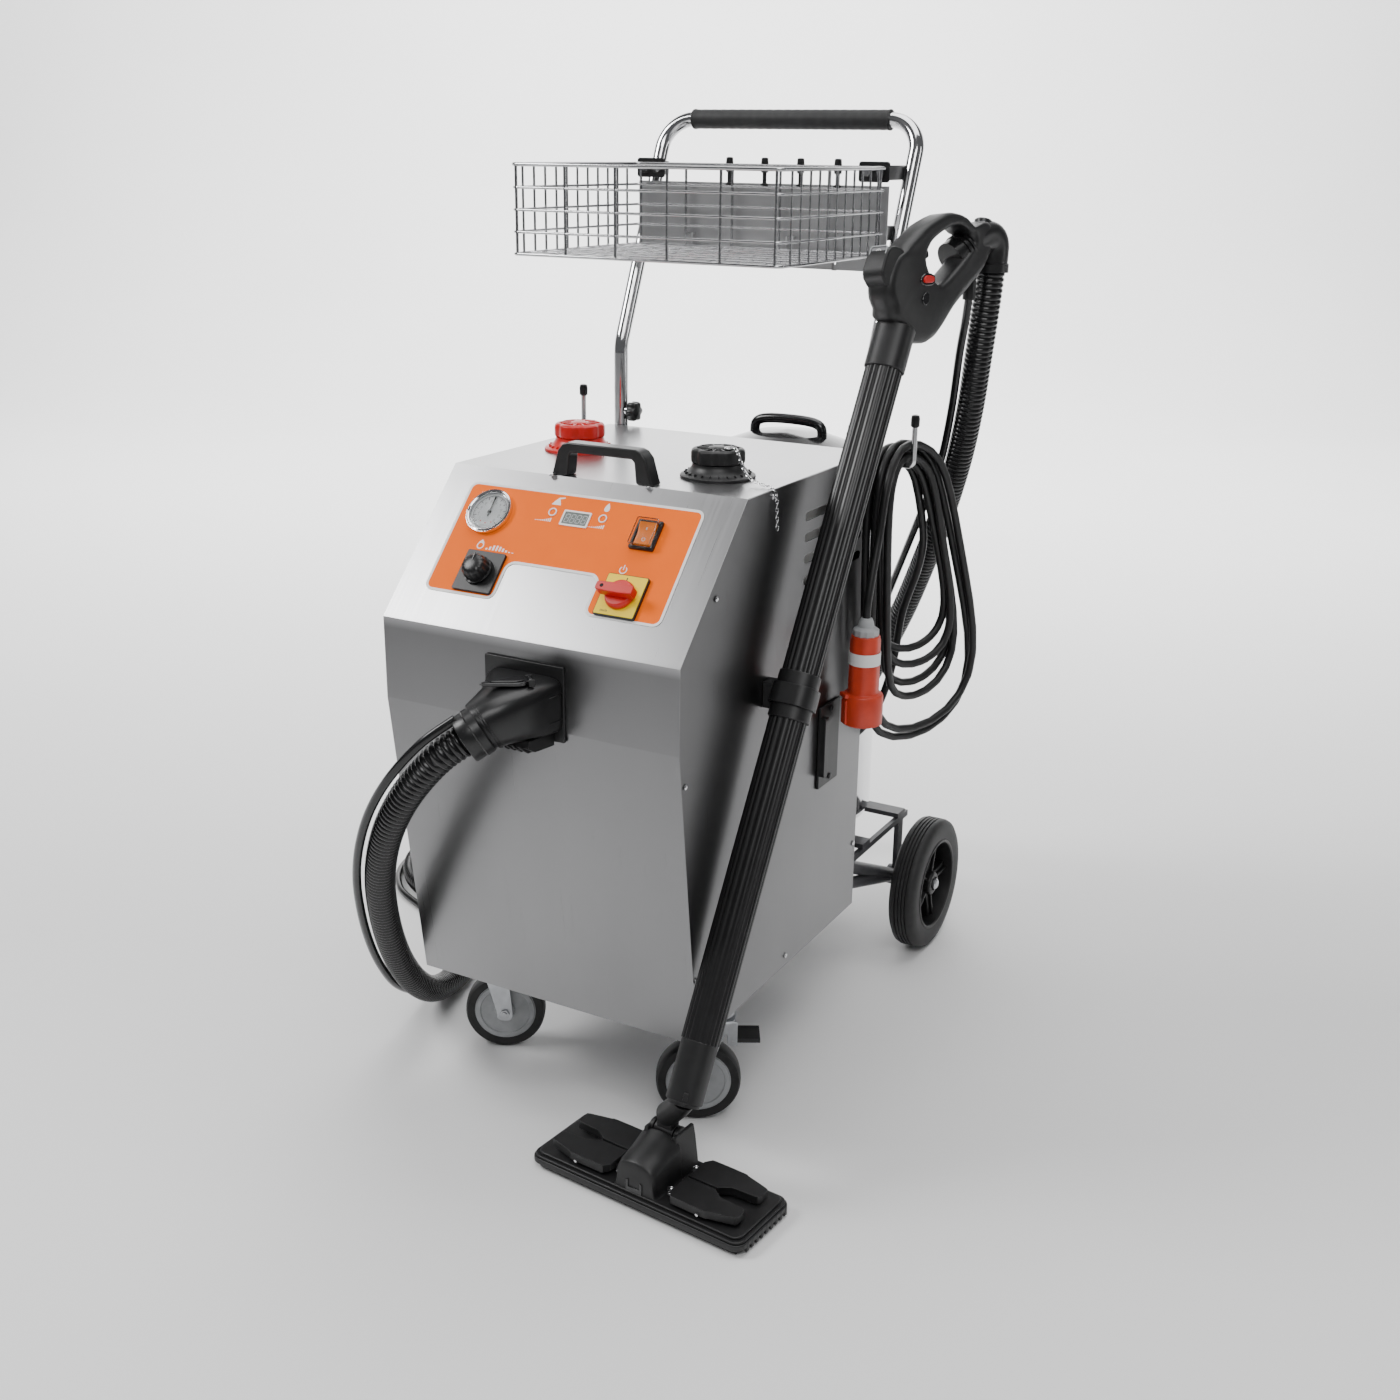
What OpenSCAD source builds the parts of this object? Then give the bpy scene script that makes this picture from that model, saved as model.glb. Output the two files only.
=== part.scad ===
// Wheeled steam and vacuum cleaner for commercial use.
// Millimetres, +Z up. The origin is on the floor, on the centre plane, below the front kink of the body.
// +X is the side that carries the wand, and +Y runs from the control face to the rear wheels.

/* [Body] */
// Width of the sheet-metal body
body_w = 450; // [444:1:452]
// Thickness of the body sheets
sheet = 1.5; // [1.2:0.1:2]

/* [Wheels] */
// Diameter of the rear wheels
rear_wheel_d = 224; // [218:1:228]
// Diameter of the front caster wheels
caster_d = 120; // [114:1:122]

/* [Handle] */
// Diameter of the handle tube
tube_d = 22; // [21:0.5:22.5]
// Lean of the upper handle towards the rear, in degrees
handle_lean = 23; // [20:1:25]

/* [Hose and lead] */
// Outer diameter of the suction hose
hose_d = 42; // [36:1:44]
// Diameter of the mains lead
lead_d = 12; // [10:0.5:13]

/* [Hidden] */
$fn = 48;
hull_fn = 32;
fit = 0.05;
gap = 0.3;

// Body profile in the YZ plane, from the foot of the front panel round to the foot of the rear panel
half_w = body_w / 2;
base_z = 173;
foot = [56, base_z];
kink = [0, 601];
fold = [0, 713];
bend = [167, 890];
deck_rear = [563, 890];
rear_foot = [563, base_z];
body_profile = [foot, kink, fold, bend, deck_rear, rear_foot];
deck_z = bend[1];
rear_y = rear_foot[0];

// Control face: x across, u up the slope from the fold, h out from the sheet
slope = atan2(bend[1] - fold[1], bend[0] - fold[0]);
gauge_at = [-133.5, 174];
gauge_r = 30;
bezel_r = 33;
bezel_h = 7;
needle_z = 3;
main_switch_at = [110.5, 81.5];
regulator_at = [-108, 84.5];
switch_plate = 60;
shaft_r = 4;
rocker_at = [109, 172];
rocker_size = [25.4, 31];
rocker_tilt = 8;
display_at = [-2, 181.7];
display_size = [42, 23];
lamp_u = 187.5;
lamp_x = [-40, 37];
lamp_r = 6;
overlay_x = [-183, 177];
overlay_u = [49, 218.5];
notch_x = [-72, 66];
notch_u = 105;
overlay_h = 0.6;

// Deck fittings
handle_x = 9;
handle_y = 180;
handle_depth = 24;
handle_foot = 76;
handle_top = 60;
handle_h = 44;
handle_bar = 12;
water_at = [125, 274];
detergent_at = [-139, 346];
flange_r = 50;
collar_r = 33;
neck_r = 29;
flange_top = deck_z + 19;
cap_r = 31;
cap_top = flange_top + 23;

// Inside the body
duct_z = 640;
duct_r = 22;
boiler_at = [-105, 390];
boiler_r = 92;
tank_x = [44, 208];
tank_y = [206, 540];
tank_z = [300, 850];
detergent_x = [-208, -60];
detergent_y = [280, 540];
detergent_z = [690, 850];

// Hose coupling on the front panel
plate_size = [120, 100];
coupling_z = 639;
elbow_at = [14, -84, 633];
exit_at = [-12, -109, 615];
latch_pin = [30, 4.4];

// Handle, tray and basket
post_x = 211;
post_y = 576;
post_z = [560, 929];
spigot_len = 180;
post_wall = 1.5;
spigot_r = tube_d / 2 - post_wall - fit;
spigot_bore = spigot_r - 1.5;
kink_z = 1000;
kink_r = 60;
bend_step = 0.3;
corner_r = 48;
lean_len = 348;
grip_half = 163;
grip_r = 14;
knob_z = 911;
knob_r = 15.5;
tray_half = 205;
tray_y = 620;
tray_z = [1160, 1254];
tray_lip = [20, 22];
lip_hole_x = 134;
lip_hole_z = 1148;
lip_hole_r = 3;
basket_y = [282, 612];
basket_z = [1160.2, 1280];
wire = 3;

// Wheels
axle_y = 817;
axle_z = rear_wheel_d / 2;
axle_r = 8;
wheel_x = 249;
wheel_w = 50;
rim_r = 78;
caster_at = [196, 165];
caster_trail = 25;
caster_w = 32;
kingpin_r = 5;
pedal_at = [-22, 128];
caster_left_turn = 30;
caster_right_turn = 210;

// Vacuum drum
drum_at = [0, 742];
drum_r = 158;
drum_z = [236, 700];
head_z = 878;

// Wand and gun
wand_foot = [253, -28, 146];
wand_tilt = 28.9;
wand_yaw = 1.7;
wand_len = 1060;
gun_roll = 18;
gun_half = 21;
gun_outline = [
    [-30, 0.1], [-34, 10], [-56, 24], [-64, 50], [-54, 84], [-40, 92], [-33, 112], [-16, 140], [4, 163],
    [24, 181], [44, 190], [66, 194], [88, 190], [100, 210], [116, 216], [134, 212], [136, 176], [134, 160],
    [128, 140], [50, 0.1]
];
gun_hole = [[49, 88], [90, 160], [92, 174], [74, 180], [48, 176], [24, 155], [8, 132], [4, 112], [20, 96]];
gun_cavity = [[-20, 12], [-44, 26], [-52, 50], [-20, 50], [40, 70], [100, 160], [116, 160], [44, 12]];
trigger_pin = [-8, 137];
gun_spout = [322, 670, 1190];
gun_elbow = [333, 707, 1179];
hose_top = [333, 707, 1150];
line_top = [318, 662, 1104];

// Floor tool
tool_at = [215, -29, 0];
tool_yaw = -6;
tool_size = [340, 122];
neck_pivot = [21, 78];
neck_top = [218, -10, 104];
clip_pin_x = 98;
clip_pin_z = 31;
clip_pin_end = 52;

function unit(v) = v / norm(v);
function outward(a, b) = [a[1] - b[1], b[0] - a[0]] / norm(b - a);
function inset_corner(p, i, t) =
    let (n0 = outward(p[i - 1], p[i]), n1 = outward(p[i], p[i + 1]))
    p[i] - t * (n0 + n1) / (1 + n0 * n1);
function inset_start(p, t, past) = p[0] - t * outward(p[0], p[1]) - past * unit(p[1] - p[0]);
function inset_end(p, t, past) =
    let (n = len(p) - 1)
    p[n] - t * outward(p[n - 1], p[n]) + past * unit(p[n] - p[n - 1]);
// The cover's outline covers the front, the control face and the deck
cover_line = [foot, kink, fold, bend, deck_rear];
function inset_line(t, past) = [
    inset_start(cover_line, t, past),
    for (i = [1 : 3]) inset_corner(cover_line, i, t),
    inset_end(cover_line, t, past)
];

// Sweep of a round section along a route, as one closed polyhedron
function route_dir(r, i) = unit(r[min(i + 1, len(r) - 1)] - r[max(i - 1, 0)]);
function side_of(d, s) = unit(s - (s * d) * d);
function sides_along(r, i, s) =
    let (next = side_of(route_dir(r, i), s))
    i == len(r) - 1 ? [next] : concat([next], sides_along(r, i + 1, next));
function ring_points(c, d, s, radius, n) =
    let (t = cross(d, s))
    [for (k = [0 : n - 1]) c + radius * (cos(360 * k / n) * s + sin(360 * k / n) * t)];
module swept_tube(route, radius, start_side, n = 8) {
    count = len(route);
    sides = sides_along(route, 0, start_side);
    points = [for (i = [0 : count - 1]) each ring_points(route[i], route_dir(route, i), sides[i], radius, n)];
    faces = concat(
        [[for (k = [0 : n - 1]) k]],
        [for (i = [0 : count - 2]) for (k = [0 : n - 1])
            [i * n + k, (i + 1) * n + k, (i + 1) * n + (k + 1) % n]],
        [for (i = [0 : count - 2]) for (k = [0 : n - 1])
            [i * n + k, (i + 1) * n + (k + 1) % n, i * n + (k + 1) % n]],
        [[for (k = [n - 1 : -1 : 0]) (count - 1) * n + k]]
    );
    polyhedron(points, faces, convexity = 8);
}

// Routes of the free hose, its steam line and the mains lead
hose_route = [
    exit_at, [-42, -126, 590], [-82, -131, 545], [-122, -122, 492], [-160, -101, 432], [-195, -70, 366],
    [-224, -33, 298], [-249, 8, 230], [-271, 54, 165], [-291, 108, 104], [-312, 172, 55],
    [-334, 245, 28], [-360, 325, 21], [-405, 400, 21], [-475, 460, 21], [-560, 500, 21],
    [-640, 545, 21], [-690, 615, 21], [-695, 705, 21], [-650, 790, 21], [-575, 850, 21],
    [-485, 895, 21], [-395, 935, 22], [-310, 975, 32], [-225, 1005, 65], [-145, 1020, 125],
    [-75, 1020, 200], [-15, 1010, 285], [40, 990, 375], [90, 965, 465], [138, 935, 555],
    [184, 895, 650], [228, 850, 745], [266, 805, 840], [294, 765, 930], [314, 732, 1020],
    [328, 712, 1100], hose_top
];
line_route = [
    [-20, -120, 642], [-54, -146, 612], [-98, -154, 562], [-140, -146, 505], [-180, -124, 440],
    [-216, -92, 372], [-246, -54, 302], [-272, -12, 232], [-294, 34, 166], [-314, 88, 104],
    [-336, 154, 55], [-360, 230, 22], [-386, 306, 8], [-428, 374, 7], [-490, 430, 7],
    [-566, 468, 7], [-652, 513, 7], [-712, 596, 7], [-724, 712, 7], [-672, 814, 7],
    [-590, 878, 7], [-495, 925, 7], [-405, 965, 8], [-318, 1005, 18], [-228, 1034, 56],
    [-144, 1048, 120], [-72, 1050, 198], [-14, 1042, 292], [20, 1018, 390], [62, 982, 486],
    [104, 944, 574], [150, 894, 662], [198, 842, 754], [242, 790, 840], [270, 750, 930],
    [294, 704, 1020], [310, 676, 1070], line_top
];
lead_exit = [190, 575, 430];
lead_route = [
    lead_exit, [190, 592, 430], [192, 612, 432], [198, 634, 440], [206, 652, 456], [214, 665, 480],
    [220, 677, 512], [226, 688, 550], [232, 692, 580]
];
plug_top = [268, 462, 668];
tail_route = [[262, 492, 800], [265, 478, 784], [267, 467, 760], [268, 463, 730], [268, 462, 700], plug_top];
chain_route = [
    [143, 268, cap_top + 2.2], [152, 264, cap_top + 2.2], [160, 259, cap_top + 1.5], [168, 255, 920],
    [176, 252, 905], [190, 246, 895],
    [212, 240, 893], [226, 238, 892], [231, 238, 883], [231, 238, 860], [232, 238, 838]
];

module on_slope(at, h = 0) {
    translate([at[0], fold[0] + at[1] * cos(slope), fold[1] + at[1] * sin(slope)])
        rotate([slope, 0, 0])
            translate([0, 0, h])
                children();
}

module rounded_plate(x, y, z, r) {
    translate([x[0], y[0] + r, z[0]]) cube([x[1] - x[0], y[1] - y[0] - 2 * r, z[1] - z[0]]);
    translate([x[0] + r, y[0], z[0]]) cube([x[1] - x[0] - 2 * r, y[1] - y[0], z[1] - z[0]]);
    for (cx = [x[0] + r, x[1] - r])
        for (cy = [y[0] + r, y[1] - r])
            translate([cx, cy, z[0]]) cylinder(r = r, h = z[1] - z[0]);
}

module block(x, y, z) {
    translate([x[0], y[0], z[0]]) cube([x[1] - x[0], y[1] - y[0], z[1] - z[0]]);
}

module across(x0, x1) {
    translate([x0, 0, 0]) rotate([90, 0, 90]) linear_extrude(x1 - x0) children();
}

module along_x(x0, x1, y, z, r) {
    translate([x0, y, z]) rotate([0, 90, 0]) cylinder(r = r, h = x1 - x0);
}

module along_y(x, y0, y1, z, r) {
    translate([x, y0, z]) rotate([-90, 0, 0]) cylinder(r = r, h = y1 - y0);
}

module mirrored() {
    children();
    mirror([1, 0, 0]) children();
}

/* Body */

module chassis() {
    color("dimgray") {
        difference() {
            block([-half_w + 4, half_w - 4], [62, rear_y - 4], [base_z, base_z + 26]);
            block([-half_w + 6, half_w - 6], [64, rear_y - 6], [base_z + 3, base_z + 27]);
        }
        for (side = [-1, 1]) {
            translate([side * 120, 480, base_z - 3]) cylinder(r = 9, h = 3);
            caster_plate(side);
        }
    }
}

module front_cover() {
    color("silver")
        difference() {
            across(-half_w, half_w) polygon(concat(cover_line, [rear_foot]));
            across(-half_w - 1, half_w + 1)
                polygon(concat(inset_line(sheet, 5), [[rear_foot[0] + 5, base_z - 5], [foot[0], base_z - 5]]));
            on_slope(gauge_at, -4) cylinder(r = gauge_r + 0.2, h = 8);
            on_slope(main_switch_at, -4) cylinder(r = 12, h = 8);
            on_slope(regulator_at, -4) cylinder(r = 12, h = 8);
            on_slope(rocker_at, -4) translate([-15, -18.5, 0]) cube([30, 37, 8]);
            on_slope(display_at, -4) translate([-19, -9.5, 0]) cube([38, 19, 8]);
            for (x = lamp_x) on_slope([x, lamp_u], -4) cylinder(r = 4, h = 8);
            for (at = [water_at, detergent_at])
                translate([at[0], at[1], deck_z - 4]) cylinder(r = neck_r + 0.5, h = 8);
            translate([0, 5, duct_z]) rotate([90, 0, 0]) cylinder(r = duct_r + 3, h = 12);
        }
}

module panel_slots(side) {
    for (z = [746, 776, 806, 835])
        for (group = [[338, 418], [448, 528]]) {
            along_x(side * half_w - 5, side * half_w + 5, group[0] + 6, z, 6);
            along_x(side * half_w - 5, side * half_w + 5, group[1] - 6, z, 6);
            translate([side * half_w - 5, group[0] + 6, z - 6]) cube([10, group[1] - group[0] - 12, 12]);
        }
}

module side_panels() {
    panel = concat(inset_line(sheet + 0.1, 0), [[rear_y - 4, base_z], [foot[0] + 4, base_z]]);
    trimmed = [for (p = panel) [min(p[0], rear_y - 4), max(p[1], base_z)]];
    color("dimgray")
        for (side = [-1, 1])
            difference() {
                across(side * (half_w - sheet / 2) - sheet / 2, side * (half_w - sheet / 2) + sheet / 2)
                    polygon(trimmed);
                panel_slots(side);
            }
    color("silver")
        for (side = [-1, 1])
            for (at = [[84, 780], [11, 557], [45, 274], [313, 190], [545, 280]])
                along_x(side > 0 ? half_w : -half_w - 1.6, side > 0 ? half_w + 1.6 : -half_w, at[0] + 4, at[1], 4);
}

module rear_panel() {
    color("dimgray")
        difference() {
            block([-half_w + 2, half_w - 2], [rear_y - 3.6, rear_y - 2.1], [base_z, deck_z - 2]);
            along_y(0, rear_y - 8, rear_y + 2, duct_z, duct_r + 1);
            along_y(lead_exit[0], rear_y - 8, rear_y + 2, lead_exit[2], 9.5);
            for (z = [300 : 24 : 396])
                block([-150, -50], [rear_y - 6, rear_y], [z, z + 10]);
        }
    color("black")
        difference() {
            union() {
                along_y(lead_exit[0], rear_y - 14, rear_y - 1, lead_exit[2], 9);
                along_y(lead_exit[0], rear_y - 2, lead_exit[1], lead_exit[2], 13);
            }
            along_y(lead_exit[0], rear_y - 20, rear_y - 4, lead_exit[2], lead_d / 2);
        }
}

/* Control face */

module control_overlay() {
    color("darkorange")
        on_slope([0, 0], 0.05)
            difference() {
                rounded_plate(overlay_x, overlay_u, [0, overlay_h], 14);
                rounded_plate(notch_x, [overlay_u[0] - 30, notch_u], [-1, overlay_h + 1], 14);
                translate([gauge_at[0], gauge_at[1], -1]) cylinder(r = bezel_r + 0.4, h = 3);
                for (at = [main_switch_at, regulator_at])
                    rounded_plate([at[0] - 32, at[0] + 32], [at[1] - 32, at[1] + 32], [-1, 2], 4);
                translate([rocker_at[0] - 18.5, rocker_at[1] - 22, -1]) cube([37, 44, 3]);
                translate([display_at[0] - 21.4, display_at[1] - 11.9, -1]) cube([42.8, 23.8, 3]);
                for (x = lamp_x) translate([x, lamp_u, -1]) cylinder(r = lamp_r + 0.3, h = 3);
            }
}

module pressure_gauge() {
    color("silver")
        on_slope(gauge_at)
            difference() {
                union() {
                    translate([0, 0, -26]) cylinder(r = gauge_r, h = 27);
                    translate([0, 0, 0.1]) cylinder(r = bezel_r, h = bezel_h);
                }
                translate([0, 0, 1.5]) cylinder(r = gauge_r - 1, h = bezel_h);
                translate([0, 0, 0.5]) cylinder(r = 1.5 + fit, h = 3);
            }
}

module gauge_needle() {
    color("black")
        on_slope(gauge_at) {
            translate([0, 0, 0.7]) cylinder(r = 1.5, h = needle_z);
            translate([0, 0, needle_z]) cylinder(r = 3, h = 1);
            translate([-0.8, -7, needle_z]) cube([1.6, 30, 0.8]);
        }
}

module gauge_glass() {
    color("white", 0.3)
        on_slope(gauge_at, bezel_h - 1.6) cylinder(r = gauge_r - 1.2, h = 1.4);
}

module display_module() {
    color("darkgreen")
        on_slope([0, 0], -48) rounded_plate([-80, 80], [70, 205], [0, 3], 3);
    color("gray")
        on_slope(display_at) {
            translate([-18.5, -9, -30]) cube([37, 18, 31]);
            translate([-display_size[0] / 2, -display_size[1] / 2, 0.1])
                cube([display_size[0], display_size[1], 2]);
        }
    color("white")
        for (x = lamp_x)
            on_slope([x, lamp_u]) {
                translate([0, 0, -20]) cylinder(r = 3.5, h = 21);
                translate([0, 0, 0.1]) cylinder(r = lamp_r, h = 2);
            }
}

module switch_plate_with_bore(at, plate_h) {
    on_slope(at)
        difference() {
            union() {
                rounded_plate([-30, 30], [-30, 30], [0.1, plate_h], 4);
                translate([0, 0, -30]) cylinder(r = 11, h = 31);
            }
            translate([0, 0, -24]) cylinder(r = shaft_r + fit, h = 40);
        }
}

module switch_frames() {
    color("gold") switch_plate_with_bore(main_switch_at, 6);
    color("black") switch_plate_with_bore(regulator_at, 5);
    color("black")
        on_slope(rocker_at)
            difference() {
                union() {
                    rounded_plate([-18, 18], [-21.5, 21.5], [0.1, 5], 3);
                    translate([-14.5, -18, -28]) cube([29, 36, 29]);
                }
                translate([-rocker_size[0] / 2 - 0.4, -17.2, -10]) cube([rocker_size[0] + 0.8, 34.4, 30]);
            }
}

module rocker_switch() {
    half = rocker_size[1] / 2;
    color("orange")
        on_slope(rocker_at, 2)
            translate([-rocker_size[0] / 2, 0, 0])
                rotate([90, 0, 90])
                    linear_extrude(rocker_size[0])
                        polygon([[-half, -3], [0, -9], [half, -3], [half, 7.5], [0, 3], [-half, 3]]);
}

module main_switch_knob() {
    color("red")
        on_slope(main_switch_at) {
            translate([0, 0, -23.5]) cylinder(r = shaft_r, h = 32);
            translate([0, 0, 6.3]) cylinder(r = 19, h = 8);
            rounded_plate([-25, 25], [-7.5, 7.5], [14.3, 27], 5);
        }
}

module regulator_knob() {
    color("black")
        on_slope(regulator_at) {
            translate([0, 0, -23.5]) cylinder(r = shaft_r, h = 32);
            translate([0, 0, 5.3]) cylinder(r = 20, h = 4);
            difference() {
                translate([0, 0, 9]) cylinder(r = 17.5, h = 15);
                for (a = [0 : 36 : 359])
                    rotate([0, 0, a + 18]) translate([20, 0, 8]) cylinder(r = 5, h = 18);
            }
        }
}

/* Deck */

module deck_handle() {
    outer = [
        [-handle_foot, 0], [-handle_top - 3, handle_h - 8], [-handle_top + 6, handle_h],
        [handle_top - 6, handle_h], [handle_top + 3, handle_h - 8], [handle_foot, 0]
    ];
    inner = [
        [-handle_foot + 22, -1], [-handle_top + 8, handle_h - handle_bar - 3],
        [-handle_top + 12, handle_h - handle_bar], [handle_top - 12, handle_h - handle_bar],
        [handle_top - 8, handle_h - handle_bar - 3], [handle_foot - 22, -1]
    ];
    color("black")
        translate([handle_x, handle_y + handle_depth / 2, deck_z + 0.1])
            rotate([90, 0, 0])
                linear_extrude(handle_depth)
                    difference() {
                        polygon(outer);
                        polygon(inner);
                    }
}

module filler_neck(at, depth) {
    translate([at[0], at[1], 0])
        difference() {
            rotate_extrude()
                polygon([
                    [0, deck_z - depth], [neck_r, deck_z - depth], [neck_r, deck_z + 0.1], [flange_r, deck_z + 0.1],
                    [flange_r, deck_z + 4], [collar_r, flange_top], [0, flange_top]
                ]);
            translate([0, 0, deck_z - depth - 1]) cylinder(r = 24, h = depth + 30);
        }
}

module screw_cap(at) {
    translate([at[0], at[1], 0]) {
        translate([0, 0, flange_top - 12]) cylinder(r = 23.7, h = 13);
        difference() {
            translate([0, 0, flange_top + gap]) cylinder(r = cap_r, h = cap_top - flange_top - gap);
            for (a = [0 : 60 : 359])
                rotate([0, 0, a])
                    translate([cap_r + 1, 0, flange_top + 7]) cylinder(r = 5, h = 30);
        }
    }
}

module water_filler() {
    color("black") filler_neck(water_at, 38);
}

module water_cap() {
    color("black") screw_cap(water_at);
}

module detergent_cap() {
    color("red") screw_cap(detergent_at);
}

module cap_chain() {
    color("silver") swept_tube(chain_route, 1.5, [0, 0, 1], 6);
}

/* Inside the body */

module tanks() {
    color("white")
        difference() {
            rounded_plate(tank_x, tank_y, tank_z, 12);
            rounded_plate([tank_x[0] + 3, tank_x[1] - 3], [tank_y[0] + 3, tank_y[1] - 3],
                [tank_z[0] + 3, tank_z[1] - 3], 9);
            translate([water_at[0], water_at[1], tank_z[1] - 10]) cylinder(r = 26, h = 20);
        }
    color("ivory")
        difference() {
            rounded_plate(detergent_x, detergent_y, detergent_z, 12);
            rounded_plate([detergent_x[0] + 3, detergent_x[1] - 3], [detergent_y[0] + 3, detergent_y[1] - 3],
                [detergent_z[0] + 3, detergent_z[1] - 3], 9);
            translate([detergent_at[0], detergent_at[1], detergent_z[1] - 10]) cylinder(r = 26, h = 20);
        }
    color("red") filler_neck(detergent_at, 38);
}

module boiler() {
    color("silver")
        translate([boiler_at[0], boiler_at[1], 0])
            difference() {
                union() {
                    translate([0, 0, 220]) cylinder(r = boiler_r, h = 340);
                    for (a = [45, 135, 225, 315])
                        rotate([0, 0, a]) translate([70, 0, base_z + 3.1]) cylinder(r = 8, h = 46);
                    translate([0, 0, 559]) cylinder(r = 18, h = 60);
                }
                translate([0, 0, 225]) cylinder(r = boiler_r - 5, h = 330);
            }
}

module water_pump() {
    color("steelblue") {
        block([70, 190], [120, 190], [base_z + 3.1, 192]);
        along_x(80, 150, 155, 220, 26);
        block([90, 140], [135, 175], [191, 200]);
        along_x(150, 180, 155, 220, 14);
    }
}

module suction_duct() {
    color("gray")
        difference() {
            along_y(0, 2, drum_at[1] - drum_r - 2, duct_z, duct_r);
            along_y(0, 1, drum_at[1], duct_z, duct_r - 2);
        }
}

/* Hose coupling */

module turned_to(direction) {
    flat = norm([direction[0], direction[1]]);
    rotate([0, 0, atan2(direction[1], direction[0])])
        rotate([0, 90 - atan2(direction[2], flat), 0])
            children();
}

module hose_coupling() {
    exit_dir = exit_at - elbow_at;
    color("black") {
        rounded_plate_xz([-59, 61], [coupling_z - 50, coupling_z + 50], [-4.1, -0.1]);
        hull() {
            block([-50, 58], [-12, -4], [coupling_z - 38, coupling_z + 36]);
            translate([14, -60, coupling_z - 34]) cylinder(r = 38, h = 70, $fn = hull_fn);
        }
        translate(elbow_at)
            turned_to(exit_dir)
                difference() {
                    cylinder(r = 29, h = norm(exit_dir));
                    translate([0, 0, norm(exit_dir) - 12]) cylinder(r = hose_d / 2 - 1, h = 20);
                }
        on_latch() {
            for (x = [[-12, -9], [9, 12]])
                block(x, [latch_pin[0] - 4, latch_pin[0] + 4], [-1, latch_pin[1] + 3]);
            along_x(-10, 10, latch_pin[0], latch_pin[1], 1.5);
        }
    }
}

module rounded_plate_xz(x, z, y) {
    translate([0, y[1], 0])
        rotate([90, 0, 0])
            rounded_plate(x, z, [0, y[1] - y[0]], 4);
}

module on_latch() {
    translate([14, -60, coupling_z + 36]) rotate([0, 0, -45]) children();
}

module coupling_latch() {
    color("black")
        on_latch()
            difference() {
                union() {
                    translate([0, 0, gap])
                        linear_extrude(4) {
                            polygon([[-12, 20], [-3, -26], [3, -26], [12, 20]]);
                            translate([0, 15]) circle(r = 13);
                            translate([0, -26]) circle(r = 3);
                        }
                    along_x(-8.6, 8.6, latch_pin[0], latch_pin[1], 3.6);
                }
                along_x(-20, 20, latch_pin[0], latch_pin[1], 1.5 + fit);
            }
}

/* Push handle */

module post(side) {
    translate([side * post_x, post_y, post_z[0]]) cylinder(r = tube_d / 2, h = post_z[1] - post_z[0]);
}

module handle_posts() {
    color("silver")
        difference() {
            union() {
                for (side = [-1, 1]) post(side);
                for (side = [-1, 1])
                    for (z = [580, 700, 850])
                        block([side * post_x - 9, side * post_x + 9], [rear_y - 2, post_y], [z - 10, z + 10]);
                along_x(-post_x, -post_x + 14.5, post_y, knob_z, 7);
                along_x(post_x - 14.5, post_x, post_y, knob_z, 7);
            }
            for (side = [-1, 1])
                translate([side * post_x, post_y, post_z[0] + 10]) cylinder(r = spigot_r + fit, h = 400);
            along_x(-post_x, -post_x + 20, post_y, knob_z, 3 + fit);
            along_x(post_x - 20, post_x, post_y, knob_z, 3 + fit);
        }
}

module bend_of(bend_r, r, angle) {
    rotate_extrude(angle = angle) translate([bend_r, 0]) circle(r = r);
}

module handle_leg(side, r) {
    translate([side * post_x, post_y, post_z[1] + 0.1]) cylinder(r = r, h = kink_z - post_z[1] - 0.1);
    translate([side * post_x, post_y + kink_r, kink_z])
        rotate([90, 0, 90])
            rotate([0, 0, 180 - handle_lean])
                bend_of(kink_r, r - bend_step, handle_lean);
    on_lean(0) translate([side * post_x, 0, 0]) cylinder(r = r, h = lean_len - corner_r);
}

module handle_top(r) {
    on_lean(0) {
        for (turn = [0, 180])
            rotate([0, 0, turn])
                translate([post_x - corner_r, 0, lean_len - corner_r])
                    rotate([90, 0, 0]) bend_of(corner_r, r, 90);
        along_x(-post_x + corner_r, post_x - corner_r, 0, lean_len, r);
    }
}

module handle_frame() {
    color("silver")
        for (side = [-1, 1])
            difference() {
                union() {
                    handle_leg(side, tube_d / 2);
                    translate([side * post_x, post_y, post_z[1] - spigot_len])
                        cylinder(r = spigot_r, h = spigot_len + 0.1);
                }
                handle_leg(side, spigot_bore);
                translate([side * post_x, post_y, post_z[1] - spigot_len - 1])
                    cylinder(r = spigot_bore, h = spigot_len + 1.1);
            }
    color("silver")
        difference() {
            handle_top(tube_d / 2);
            handle_top(spigot_bore);
        }
}

module on_lean(s) {
    translate([0, post_y + kink_r, kink_z])
        rotate([-handle_lean, 0, 0])
            translate([0, -kink_r, s])
                children();
}

module handle_grip() {
    color("black")
        on_lean(lean_len)
            difference() {
                along_x(-grip_half, grip_half, 0, 0, grip_r);
                along_x(-grip_half - 1, grip_half + 1, 0, 0, tube_d / 2 + 0.02);
            }
}

module star_knob() {
    along_x(tube_d / 2 + 0.4, 22, 0, 0, 3);
    difference() {
        along_x(15, 31, 0, 0, knob_r);
        for (a = [0 : 60 : 359])
            rotate([a, 0, 0])
                translate([14, 0, knob_r + 1.5]) rotate([0, 90, 0]) cylinder(r = 5, h = 18);
    }
}

module star_knob_left() {
    color("black") translate([-post_x, post_y, knob_z]) star_knob();
}

module star_knob_right() {
    color("black") translate([post_x, post_y, knob_z]) mirror([1, 0, 0]) star_knob();
}

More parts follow.
